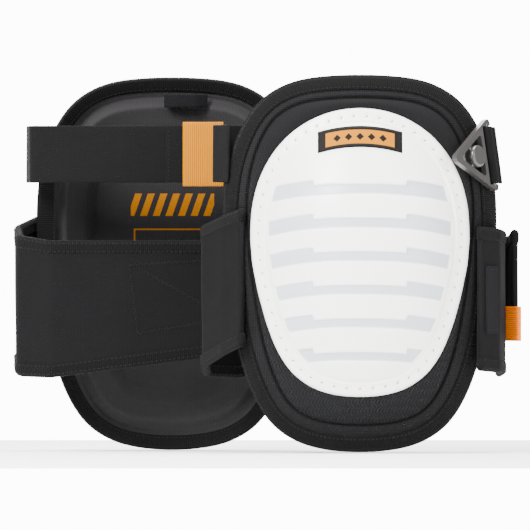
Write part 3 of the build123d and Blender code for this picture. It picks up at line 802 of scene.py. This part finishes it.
def calf_low(path, over=0.0):
    """Lower edge of the calf strap: it drops backwards and rises towards the buckle side."""
    return 60.0 + 0.129 * path[:, 0] + CALF_DROP * (CALF_BACK_Y - path[:, 1]) - over


def wing_high(path):
    """Upper edge of the wing, which drops slightly backwards."""
    return 143.0 + WING_DROP * (CALF_BACK_Y - path[:, 1])


def wing_low(path):
    """Lower edge of the wing, level with the upper one."""
    return 49.0 + WING_DROP * (CALF_BACK_Y - path[:, 1])


def groove_map(x, z, inside):
    """Share of the groove's depth at each point: stepped slots, taller past x = 31, drooping as |x|^2.6."""
    droop = 5.3 * (np.abs(x) / 57.5) ** 2.6
    tall = smooth(np.abs(x), 30.4, 31.4)
    found = np.zeros_like(x)
    for i in range(6):
        low = 171.0 - 22.05 * i - droop
        top = low + (6.6 - 0.2 * i) + tall * (3.4 + 0.05 * i)
        found = np.maximum(found, smooth(z, low - 0.45, low + 0.45) * (1 - smooth(z, top - 0.45, top + 0.45)))
    return found * smooth(inside, 11.6, 12.6)


def cap_lift(x, z, inside):
    """Cap's height over the fabric: a rounded flange, a step ring and then the crown."""
    flange = 2.5 * np.sqrt(1 - (1 - np.clip(inside / 2.2, 0, 1)) ** 2)
    ring = 0.35 * np.exp(-((inside - 8.2) / 0.9) ** 2)
    crown = surface_y(x, z, 0.0) - crown_y(x, z)
    return flange + ring + smooth(inside, 8.4, 11.4) * (crown - flange)


class KNEEPAD_OT_stage(bpy.types.Operator):
    """Pale floor, soft studio lights and the camera"""
    bl_idname = "knee_pads.stage"
    bl_label = "Stage"

    def execute(self, context):
        low = CAD_BOX[0]
        camera = bpy.data.cameras.new("camera")
        camera.sensor_width, camera.lens = 36.0, CAMERA_LENS
        camera.clip_start, camera.clip_end = 0.1, 100.0
        view = bpy.data.objects.new("camera", camera)
        view.location = CAMERA_PLACE
        view.rotation_euler = (np.pi / 2, 0.0, 0.0)
        context.scene.collection.objects.link(view)
        context.scene.camera = view
        mesh = bpy.data.meshes.new("floor")
        reach, level = 0.9, low.z - 0.0005
        mesh.from_pydata([(-reach, -reach, level), (reach, -reach, level), (reach, reach, level),
                          (-reach, reach, level)], [], [(0, 1, 2, 3)])
        floor = bpy.data.objects.new("floor", mesh)
        context.scene.collection.objects.link(floor)
        mesh.materials.append(kept("pale_floor", moulded((0.95, 0.95, 0.95), 0.7, 40.0, 0.0001)))
        world = bpy.data.worlds.new("studio")
        world.use_nodes = True
        world.node_tree.nodes["Background"].inputs[0].default_value = (1.0, 1.0, 1.0, 1.0)
        world.node_tree.nodes["Background"].inputs[1].default_value = 0.85
        self.bright_backdrop(world.node_tree)
        context.scene.world = world
        for name, place, size, power in (("key", (-0.9, -1.3, 1.1), 0.8, 125.0),
                                         ("fill", (1.2, -1.1, 0.4), 1.0, 32.0),
                                         ("top", (0.0, 0.1, 1.4), 0.8, 55.0),
                                         ("back", (-0.5, 1.5, 0.8), 1.0, 45.0)):
            lamp = bpy.data.lights.new(name, "AREA")
            lamp.size, lamp.energy = size, power
            light = bpy.data.objects.new(name, lamp)
            light.location = place
            aim = -light.location.normalized()
            light.rotation_euler = aim.to_track_quat("-Z", "Y").to_euler()
            context.scene.collection.objects.link(light)
        return {"FINISHED"}

    @staticmethod
    def bright_backdrop(tree):
        """The backdrop itself is plain white, while the light that it gives stays soft and even."""
        soft = tree.nodes["Background"]
        white = tree.nodes.new("ShaderNodeBackground")
        white.inputs[1].default_value = 16.0
        path, join = tree.nodes.new("ShaderNodeLightPath"), tree.nodes.new("ShaderNodeMixShader")
        tree.links.new(path.outputs["Is Camera Ray"], join.inputs[0])
        tree.links.new(soft.outputs[0], join.inputs[1])
        tree.links.new(white.outputs[0], join.inputs[2])
        tree.links.new(join.outputs[0], tree.nodes["World Output"].inputs[0])


class KNEEPAD_OT_cap(bpy.types.Operator):
    """Moulded caps with their flange, crown and stepped grooves, and the stitches round them"""
    bl_idname = "knee_pads.cap"
    bl_label = "Hard caps"

    def execute(self, context):
        sizes = settings()[1]
        x, z = outline_grid(CAP_OUTLINE, 360, 200)
        inside = nearest(x, z, CAP_OUTLINE)
        groove = groove_map(x, z, inside)
        normals = outline_normals(CAP_OUTLINE)
        perimeter = np.linalg.norm(np.roll(CAP_OUTLINE, -1, 0) - CAP_OUTLINE, axis=1).sum()
        count = int(round(perimeter / (sizes.cap_stitch_pitch * 1000)))
        pick = (np.arange(count) * len(CAP_OUTLINE) / count).astype(int)
        spots = CAP_OUTLINE[pick] - 5.4 * normals[pick]
        dimple = 0.55 * np.exp(-(nearest(x, z, spots) / 1.5) ** 2)
        lift = cap_lift(x, z, inside) - groove * sizes.groove_depth * 1000 - dimple
        y = surface_y(x, z, 0.0) - lift
        front = np.stack([x, y, z], -1)

        def back_y(bx, bz):
            within = nearest(bx, bz, CAP_OUTLINE)
            hollow = smooth(within, 13.0, 16.0) * (cap_lift(bx, bz, within) - 3.0)
            return surface_y(bx, bz, 0.0) + 0.3 - np.maximum(hollow, 0.0)

        turn = np.stack([normals[pick][:, 1], -normals[pick][:, 0]], -1)
        slant = 0.8 * turn + 0.6 * normals[pick]
        spot_in = nearest(spots[:, 0], spots[:, 1], CAP_OUTLINE)
        spot_y = surface_y(spots[:, 0], spots[:, 1], 0.0) - cap_lift(spots[:, 0], spots[:, 1], spot_in) + 0.35
        places = np.stack([spots[:, 0], spot_y, spots[:, 1]], -1)
        ahead = spots + 0.5 * slant
        ahead_y = surface_y(ahead[:, 0], ahead[:, 1], 0.0) - surface_y(spots[:, 0], spots[:, 1], 0.0)
        along = np.stack([0.5 * slant[:, 0], ahead_y, 0.5 * slant[:, 1]], -1)
        facing = np.tile([[0.0, -1.0, 0.0]], (count, 1))
        for pad in PADS:
            piece = sheet_solid(pad, "hard_cap", front, back_y, {"groove": groove})
            finish_piece(piece, pad, finish("cap"), nodes=["cap"], slot="cap_plastic")
            sew(pad, "cap_stitches", (places, along, facing), (2.4, 0.75, 0.6), "cap_thread")
        return {"FINISHED"}


class KNEEPAD_OT_badge(bpy.types.Operator):
    """Arched rubber plates at the top of the caps, with a plain diamond pattern"""
    bl_idname = "knee_pads.badge"
    bl_label = "Badges"

    def execute(self, context):
        u = np.linspace(-1, 1, 121)[None, :]
        v = np.linspace(-1, 1, 41)[:, None]
        x = BADGE_HALF_WIDTH * u + 0 * v
        z = 209.0 + BADGE_HALF_HEIGHT * v - 4.2 * u ** 2
        rim = np.minimum(BADGE_HALF_WIDTH * (1 - np.abs(u)), BADGE_HALF_HEIGHT * (1 - np.abs(v)))
        raised = 0.9 * np.sqrt(1 - (1 - np.clip(rim / 0.8, 0, 1)) ** 2)
        border = 0.25 * smooth(rim, 0.8, 1.0) * (1 - smooth(rim, 1.7, 2.1))
        front = np.stack([x, crown_y(x, z) - 0.05 - raised - border, z], -1)
        flat = np.stack([x, BADGE_HALF_HEIGHT * v + 0 * u], -1).reshape(-1, 2) / 1000.0
        for pad in PADS:
            piece = sheet_solid(pad, "cap_badge_plate", front, lambda bx, bz: crown_y(bx, bz) + 0.2)
            self.lay_flat(piece, flat)
            finish_piece(piece, pad, finish("badge"), nodes=["cap_badge"], slot="badge_print")
        return {"FINISHED"}

    @staticmethod
    def lay_flat(piece, flat):
        """UV of the plate's front from its own grid, so that the pattern follows the arch."""
        mesh = piece.data
        loops = np.empty(len(mesh.loops), np.int32)
        mesh.loops.foreach_get("vertex_index", loops)
        table = np.full((len(mesh.vertices), 2), 1.0)
        table[:len(flat)] = flat
        mesh.uv_layers["surface"].data.foreach_set("uv", table[loops].astype(np.float32).ravel())


class KNEEPAD_OT_shell(bpy.types.Operator):
    """Padded outer fabric: a woven band, a sunk seam and a puffed slope up to the cap"""
    bl_idname = "knee_pads.shell"
    bl_label = "Outer fabric"

    def execute(self, context):
        x, z = outline_grid(PAD_OUTLINE, 300, 220)
        inside = nearest(x, z, PAD_OUTLINE)
        to_cap = nearest(x, z, CAP_OUTLINE)
        angle = np.arctan2(z - KNEE_Z, np.abs(x) + 1e-6)
        under = np.interp(angle, *self.cap_radius())
        covered = np.hypot(x, z - KNEE_Z) < under
        seam_at = 18.0 - 2.6 * smooth(z, 60, 240)
        off = inside - seam_at
        seam = np.exp(-(off / 0.9) ** 2)
        slope = np.clip(off / (off + to_cap + 1e-6), 0, 1)
        band_puff = 0.9 * smooth(inside, 9, 13) * smooth(-off, 0, 2.5)
        puff = np.where(off > 0, 2.3 * np.sin(np.pi * slope) ** 0.7, band_puff)
        folds = 0.22 * (np.sin(z / 7.0 + x / 19.0) + np.sin(x / 6.1 - z / 13.0)) * (off > 1)
        folds = folds * np.sin(np.pi * slope)
        lift = np.where(covered, 0.0, puff + folds) - 1.1 * seam * ~covered
        front = pad_point(x, z, -lift)
        plain = smooth(z, 175, 205) * smooth(off, 0, 2) * (np.abs(x) < FABRIC_PLAIN_HALF)
        values = {"inner": smooth(off, 0.5, 1.5), "plain": plain, "seam": seam * ~covered}
        for pad in PADS:
            piece = sheet_solid(pad, "outer_fabric", front,
                                lambda bx, bz: pad_point(bx, bz, 1.6)[..., 1], values)
            finish_piece(piece, pad, finish("shell"), nodes=["outer_shell"], slot="woven_shell")
        return {"FINISHED"}

    @staticmethod
    def cap_radius():
        """Angle and radius of the cap's outline about the knee's centre, for its right half."""
        right = CAP_OUTLINE[CAP_OUTLINE[:, 0] >= 0]
        angle = np.arctan2(right[:, 1] - KNEE_Z, right[:, 0])
        order = np.argsort(angle)
        return angle[order], np.hypot(right[:, 0], right[:, 1] - KNEE_Z)[order]


class KNEEPAD_OT_binding(bpy.types.Operator):
    """Ribbed tape folded round the pads' edges, with a row of stitches on each face"""
    bl_idname = "knee_pads.binding"
    bl_label = "Edge tape"

    def execute(self, context):
        sizes = settings()[1]
        curve, normals = PAD_OUTLINE[::3], outline_normals(PAD_OUTLINE)[::3]
        width = sizes.binding_width * 1000
        turn = np.linspace(np.pi / 2, -np.pi / 2, 13)
        swell = 0.35 * np.sin(np.linspace(0, np.pi, 9))
        inset = np.concatenate([np.linspace(width, 1.6, 9), 1.6 - 1.6 * np.cos(turn),
                                np.linspace(1.6, width, 9), [width, width]])
        depth = np.concatenate([-0.9 - swell, 6.6 - 7.5 * np.sin(turn), 14.1 + swell, [13.3, -0.1]])
        run = running(np.linalg.norm(np.roll(curve, -1, 0) - curve, axis=1))
        pucker = 0.12 * np.sin(run[:-1] * 2 * np.pi / 6.0)
        x = curve[:, None, 0] - inset[None, :] * normals[:, None, 0]
        z = curve[:, None, 1] - inset[None, :] * normals[:, None, 1]
        bulge = np.where((depth < 0) & (depth > -2), -1, np.where(depth > 13.5, 1, 0))
        points = pad_point(x, z, depth[None, :] + pucker[:, None] * bulge[None, :])
        quads, i, j = grid_quads(len(curve), len(inset), close_rows=True, close_cols=True)
        around = np.append(running(np.hypot(np.diff(inset), np.diff(depth))), 60.0)
        quad_uv = np.stack([run[i], around[j]], -1) / 1000.0
        count = int(run[-1] / (sizes.stitch_pitch * 1000))
        pick = (np.arange(count) * len(PAD_OUTLINE) / count).astype(int)
        out = outline_normals(PAD_OUTLINE)[pick]
        spot = PAD_OUTLINE[pick] - (width - 1.6) * out
        ahead = spot + 0.5 * np.stack([-out[:, 1], out[:, 0]], -1)
        for pad in PADS:
            piece = build(pad, "edge_tape", points.reshape(-1, 3), quads, quad_uv=quad_uv)
            finish_piece(piece, pad, finish("binding"), nodes=["edge_binding"], slot="grosgrain_binding")
            for face, level in (("front", -1.25), ("back", 14.4)):
                at = pad_point(spot[:, 0], spot[:, 1], level)
                to = pad_point(ahead[:, 0], ahead[:, 1], level)
                far = pad_point(spot[:, 0], spot[:, 1], level + 1.0)
                sew(pad, "edge_stitches_" + face, (at, to - at, at - far), (2.0, 0.75, 0.6))
        return {"FINISHED"}


class KNEEPAD_OT_liner(bpy.types.Operator):
    """Padded knee side with its moulded ridge and plain amber print"""
    bl_idname = "knee_pads.liner"
    bl_label = "Knee liner"

    def execute(self, context):
        ridge_height = settings()[1].ridge_height * 1000
        outline = PAD_OUTLINE - 0.9 * outline_normals(PAD_OUTLINE)
        x, z = outline_grid(outline, 260, 200)
        inside = nearest(x, z, PAD_OUTLINE)
        ridge = smooth(inside, 13.5, 21.0) * (1 - smooth(inside, 32.0, 41.0))
        crease = np.exp(-((inside - 13.2) / 1.0) ** 2)
        quilt = 0.3 * np.sin(x / 12.0) * np.sin(z / 14.0) * smooth(inside, 38, 46)
        depth = 13.3 + ridge_height * ridge - 0.5 * crease + quilt
        front = pad_point(x, z, depth)
        # 1 on the knee side and 0 on the hidden side, so that the print shows only once
        values = {"print": np.ones_like(x)}
        for pad in PADS:
            piece = sheet_solid(pad, "knee_liner_pad", front,
                                lambda bx, bz: pad_point(bx, bz, 11.7)[..., 1], values)
            finish_piece(piece, pad, finish("liner"), nodes=["knee_liner", "ridge_foam"],
                         slot="liner_fabric")
        return {"FINISHED"}


class KNEEPAD_OT_upper_strap(bpy.types.Operator):
    """Upper elastic straps with their hem, hook patch and stitches"""
    bl_idname = "knee_pads.upper_strap"
    bl_label = "Upper straps"

    def execute(self, context):
        low, high = STRAP_LOW[2], STRAP_HIGH[2]
        path = rounded_path([(-87, 45), (-97, 62), (-94, 92), (7, 92)], 5.0)
        strap = upright_band(path, low, high, ELASTIC_THICK, wave=0.10)
        hem = upright_band(rounded_path([(-4, 93.3), (7, 93.3)], 1.0), low, high, 1.0)
        hook = upright_band(rounded_path([(-39, 90.5), (7, 90.5)], 1.0), low + 1, high - 1, 1.4)
        for pad in PADS:
            put_bands(pad, ((strap, "upper_elastic", "elastic", ["upper_strap"], "elastic"),
                            (hem, "upper_hem", "elastic", ["strap_hem"], "elastic"),
                            (hook, "hook_patch", "hook", ["strap_hook_patch"], "hook_tape")))
            sew(pad, "hem_stitches", upright_row(-2.0, 93.85, low + 2.5, high - 2), (1.7, 0.6, 0.5))
        return {"FINISHED"}


class KNEEPAD_OT_pull_tab(bpy.types.Operator):
    """Amber ribbed pull tabs at the ends of the upper straps"""
    bl_idname = "knee_pads.pull_tab"
    bl_label = "Pull tabs"

    def execute(self, context):
        for pad in PADS:
            low, high = pad.box("strap_pull_tab")
            y = (low[1] + high[1]) / 2
            tab = upright_band(rounded_path([(low[0], y), (high[0], y)], 1.0, 0.7), low[2], high[2],
                               high[1] - low[1], wave=0.05)
            put_bands(pad, ((tab, "amber_tab", "tab", ["strap_pull_tab"], "tab_webbing"),), "strap_tab")
            row = upright_row(high[0] - 2.6, high[1] + 0.1, low[2] + 3, high[2] - 2)
            sew(pad, "tab_stitches", row, (1.7, 0.6, 0.5), "loop", "strap_tab")
        return {"FINISHED"}


class KNEEPAD_OT_buckle_strap(bpy.types.Operator):
    """Second elastic: a sewn loop round the buckle's bar and a run to the back"""
    bl_idname = "knee_pads.buckle_strap"
    bl_label = "Buckle straps"

    def execute(self, context):
        joints = {j["name"]: j for j in frame["joints"]}
        hinge = joints["front_buckle_swing"]
        bar = (np.array(hinge["pos_m"]) - PADS[0].cup) * 1000.0 + [0.0, CUP_DEPTH, KNEE_Z]
        axis = np.array(hinge["axis"], float)
        axis = axis * np.sign(axis[2]) / np.linalg.norm(axis)
        away = np.array([0.5236, 0.8520, 0.0])
        away = away - axis * (away @ axis)
        away /= np.linalg.norm(away)
        side = np.cross(axis, away)
        turn = np.radians(np.linspace(50, 310, 40))[:, None]
        ring = bar + BAR_REACH * (np.cos(turn) * away + np.sin(turn) * side)
        back = rounded_path([(bar[0] + 5.5, bar[1] + 9), (bar[0] + 2, 89), (-39, 89)], 5.0)
        middle = (STRAP_LOW[2] + STRAP_HIGH[2]) / 2
        reach = np.linspace(0, 1, len(back))
        height = bar[2] + (middle - bar[2]) * smooth(reach, 0.0, 0.35)
        tail = np.column_stack([back, height])
        sleeve = Band(ring, ELASTIC_HALF, ELASTIC_THICK, up=axis)
        blend = smooth(reach, 0.0, 0.35)[:, None]
        up = axis * (1 - blend) + np.array([0.0, 0.0, 1.0]) * blend
        link = np.linspace(0, 1, 10)[:, None]
        lead = (bar + BAR_REACH * away) * (1 - link) + tail[0] * link
        centre = resample(np.concatenate([lead, tail[1:]]), 160)
        up = np.concatenate([np.tile(axis, (len(lead), 1)), up[1:]])
        run = Band(centre, ELASTIC_HALF, ELASTIC_THICK, up=unit(resample(up, 160)), wave=0.08)
        for pad in PADS:
            put_bands(pad, ((run, "buckle_elastic", "elastic", ["buckle_strap"], "elastic"),
                            (sleeve, "buckle_elastic_loop", "elastic", (), "elastic")))
        return {"FINISHED"}


class KNEEPAD_OT_hard_parts(bpy.types.Operator):
    """Moulded buckle and stud, steel rivets, and the foams inside the pads"""
    bl_idname = "knee_pads.hard_parts"
    bl_label = "Buckles and inner parts"

    def execute(self, context):
        for pad in PADS:
            for node, kind in (("buckle", "buckle"), ("stud_base", "buckle"), ("stud_knob", "buckle"),
                               ("stud_rivets", "steel"), ("foam_core", "foam"), ("cap_foam", "foam"),
                               ("gel_insert", "gel")):
                mesh = frame["nodes"][pad.name + "_" + node].data
                mesh.materials.clear()
                mesh.materials.append(finish(kind))
        return {"FINISHED"}


class KNEEPAD_OT_calf_strap(bpy.types.Operator):
    """Neoprene calf straps with bound edges, a hook panel and a sewn cross"""
    bl_idname = "knee_pads.calf_strap"
    bl_label = "Calf straps"

    def execute(self, context):
        path = CALF_PATH
        strap = upright_band(path, calf_low(path), calf_high(path), CALF_THICK, wave=0.22, crown=0.12)
        taped = CALF_THICK + 1.8
        upper = upright_band(path, calf_high(path, -TAPE_WIDE), calf_high(path, TAPE_OVER), taped, wave=0.22)
        lower = upright_band(path, calf_low(path, TAPE_OVER), calf_low(path, -TAPE_WIDE), taped, wave=0.22)
        panel = upright_band(rounded_path([(-28, 93.4), (64, 93.4)], 1.0), 82.0, 127.6, 1.4)
        corners = [((-28.4, 124.0), (24.5, 127.3)), ((-28.4, 124.0), (-22.5, 78.4)),
                   ((-22.5, 78.4), (25.8, 86.3)), ((24.5, 127.3), (25.8, 86.3)),
                   ((-20.5, 120.7), (25.2, 95.6))]
        for pad in PADS:
            tape_slot = "grosgrain_binding"
            put_bands(pad, ((strap, "calf_neoprene", "neoprene", ["calf_strap"], "neoprene"),
                            (upper, "calf_tape_upper", "binding", ["calf_binding_upper"], tape_slot),
                            (lower, "calf_tape_lower", "binding", ["calf_binding_lower"], tape_slot),
                            (panel, "calf_hook_tape", "hook", ["calf_hook_panel"], "hook_tape")))
            for label, tape in (("upper", upper), ("lower", lower)):
                rows = [tape.row(level, face, 3.0) for level in (-2.8, 2.6) for face in (1, -1)]
                sew(pad, "calf_stitches_" + label, joined(rows), (2.0, 0.8, 0.6))
            at, along = joined([self.zigzag(a, b) for a, b in corners])
            sew(pad, "calf_cross_stitches", (at, along, np.tile(BACK, (len(at), 1))), (2.6, 0.6, 0.5))
        return {"FINISHED"}

    @staticmethod
    def zigzag(start, end, pitch=1.9, swing=1.0):
        """Threads of a zigzag seam: z' = +-swing in turn, about the line from start to end."""
        start, end = np.array(start), np.array(end)
        reach = np.linalg.norm(end - start)
        way = (end - start) / reach
        off = np.array([-way[1], way[0]])
        steps = np.arange(int(reach / pitch))
        sign = np.where(steps % 2, 1.0, -1.0)[:, None]
        at = start + (steps[:, None] + 0.5) * pitch * way
        along = way * pitch + sign * off * 2 * swing
        face = CALF_BACK_Y + CALF_THICK / 2 * 1.12 + 0.25
        return (np.stack([at[:, 0], np.full(len(at), face), at[:, 1]], -1),
                np.stack([along[:, 0], np.zeros(len(at)), along[:, 1]], -1))


class KNEEPAD_OT_calf_wing(bpy.types.Operator):
    """Sewn-on calf wings with bound edges and a webbing patch"""
    bl_idname = "knee_pads.calf_wing"
    bl_label = "Calf wings"

    def execute(self, context):
        path = WING_PATH
        wing = upright_band(path, wing_low(path), wing_high(path), CALF_THICK, wave=0.2, crown=0.1)
        taped = CALF_THICK + 1.6
        upper = upright_band(path, wing_high(path) - TAPE_WIDE, wing_high(path) + TAPE_OVER, taped, wave=0.2)
        lower = upright_band(path, wing_low(path) - TAPE_OVER, wing_low(path) + TAPE_WIDE, taped, wave=0.2)
        first, second = np.array(WING_ROOT)
        way = (second - first) / np.linalg.norm(second - first)
        out = np.array([way[1], -way[0]])
        middle = (first + second) / 2 + out * (CALF_THICK / 2 + 0.9)
        patch = upright_band(resample(np.stack([middle - 6 * way, middle + 6 * way]), 14), 78.5, 123.5, 1.4)
        for pad in PADS:
            put_bands(pad, ((wing, "wing_neoprene", "neoprene", ["calf_wing"], "neoprene"),
                            (upper, "wing_tape_upper", "binding", (), "grosgrain_binding"),
                            (lower, "wing_tape_lower", "binding", (), "grosgrain_binding"),
                            (patch, "webbing_patch_cloth", "webbing", ["webbing_patch"], "webbing")))
            rows = [tape.row(level, face, 3.0) for tape in (upper, lower) for level in (-2.6, 2.6)
                    for face in (1, -1)]
            rows += [patch.row(level, 1, 2.4, 1.0, 1.0) for level in (-20.0, 20.0)]
            sew(pad, "wing_stitches", joined(rows), (1.8, 0.6, 0.55))
        return {"FINISHED"}


class KNEEPAD_OT_loops(bpy.types.Operator):
    """Orange pull loops at the ends of the calf straps, and the hanging loops inside"""
    bl_idname = "knee_pads.loops"
    bl_label = "Loops"

    def execute(self, context):
        root, way, side = np.array([97.6, 67.5]), np.array([0.7071, -0.7071]), np.array([0.7071, 0.7071])
        turn = np.linspace(-np.pi / 2, np.pi / 2, 16)
        fold = np.stack([11.3 + 1.2 * np.cos(turn), 1.2 * np.sin(turn)], -1)
        line = np.concatenate([[[0.6, -1.2]], fold, [[0.6, 1.2]]])
        path = root + line[:, :1] * way + line[:, 1:] * side
        pull = upright_band(resample(path, 60), 73.5, 96.5, 1.0)
        for pad in PADS:
            put_bands(pad, ((pull, "orange_loop", "loop", ["calf_pull_loop"], "tab_webbing"),), "calf_tab")
            low, high = pad.box("hang_loop")
            x, y = (low[0] + high[0]) / 2, low[1] + 0.75
            bow = rounded_path([(x - 14, y), (x - 6.5, y + 6), (x + 6.5, y + 6), (x + 14, y)], 3.0, 0.7)
            hang = upright_band(bow, low[2], high[2], 1.5)
            put_bands(pad, ((hang, "hanging_loop", "webbing", ["hang_loop"], "webbing"),))
        return {"FINISHED"}


STEPS = (KNEEPAD_OT_stage, KNEEPAD_OT_cap, KNEEPAD_OT_badge, KNEEPAD_OT_shell, KNEEPAD_OT_binding,
         KNEEPAD_OT_liner, KNEEPAD_OT_upper_strap, KNEEPAD_OT_pull_tab, KNEEPAD_OT_buckle_strap,
         KNEEPAD_OT_hard_parts, KNEEPAD_OT_calf_strap, KNEEPAD_OT_calf_wing, KNEEPAD_OT_loops)


class KNEEPAD_PT_panel(bpy.types.Panel):
    """Lists the pieces and their settings"""
    bl_label = "Knee pads"
    bl_idname = "KNEEPAD_PT_panel"
    bl_space_type = "VIEW_3D"
    bl_region_type = "UI"
    bl_category = "Knee pads"

    def draw(self, context):
        for group in (context.scene.knee_pad_sizes, context.scene.knee_pad_colours):
            for key in group.__annotations__:
                self.layout.prop(group, key)
        for step in STEPS:
            self.layout.operator(step.bl_idname)


CLASSES = (KneePadSizes, KneePadColours, *STEPS, KNEEPAD_PT_panel)


def register():
    """Adds the classes and the scene's two property groups."""
    for item in CLASSES:
        bpy.utils.register_class(item)
    bpy.types.Scene.knee_pad_sizes = PointerProperty(type=KneePadSizes)
    bpy.types.Scene.knee_pad_colours = PointerProperty(type=KneePadColours)


def unregister():
    """Takes them away again."""
    del bpy.types.Scene.knee_pad_colours
    del bpy.types.Scene.knee_pad_sizes
    for item in reversed(CLASSES):
        bpy.utils.unregister_class(item)


def main():
    register()
    for step in STEPS:
        group, name = step.bl_idname.split(".")
        if "FINISHED" not in getattr(getattr(bpy.ops, group), name)():
            raise RuntimeError(step.bl_label + " could not be made")


if __name__ == "__main__":
    main()
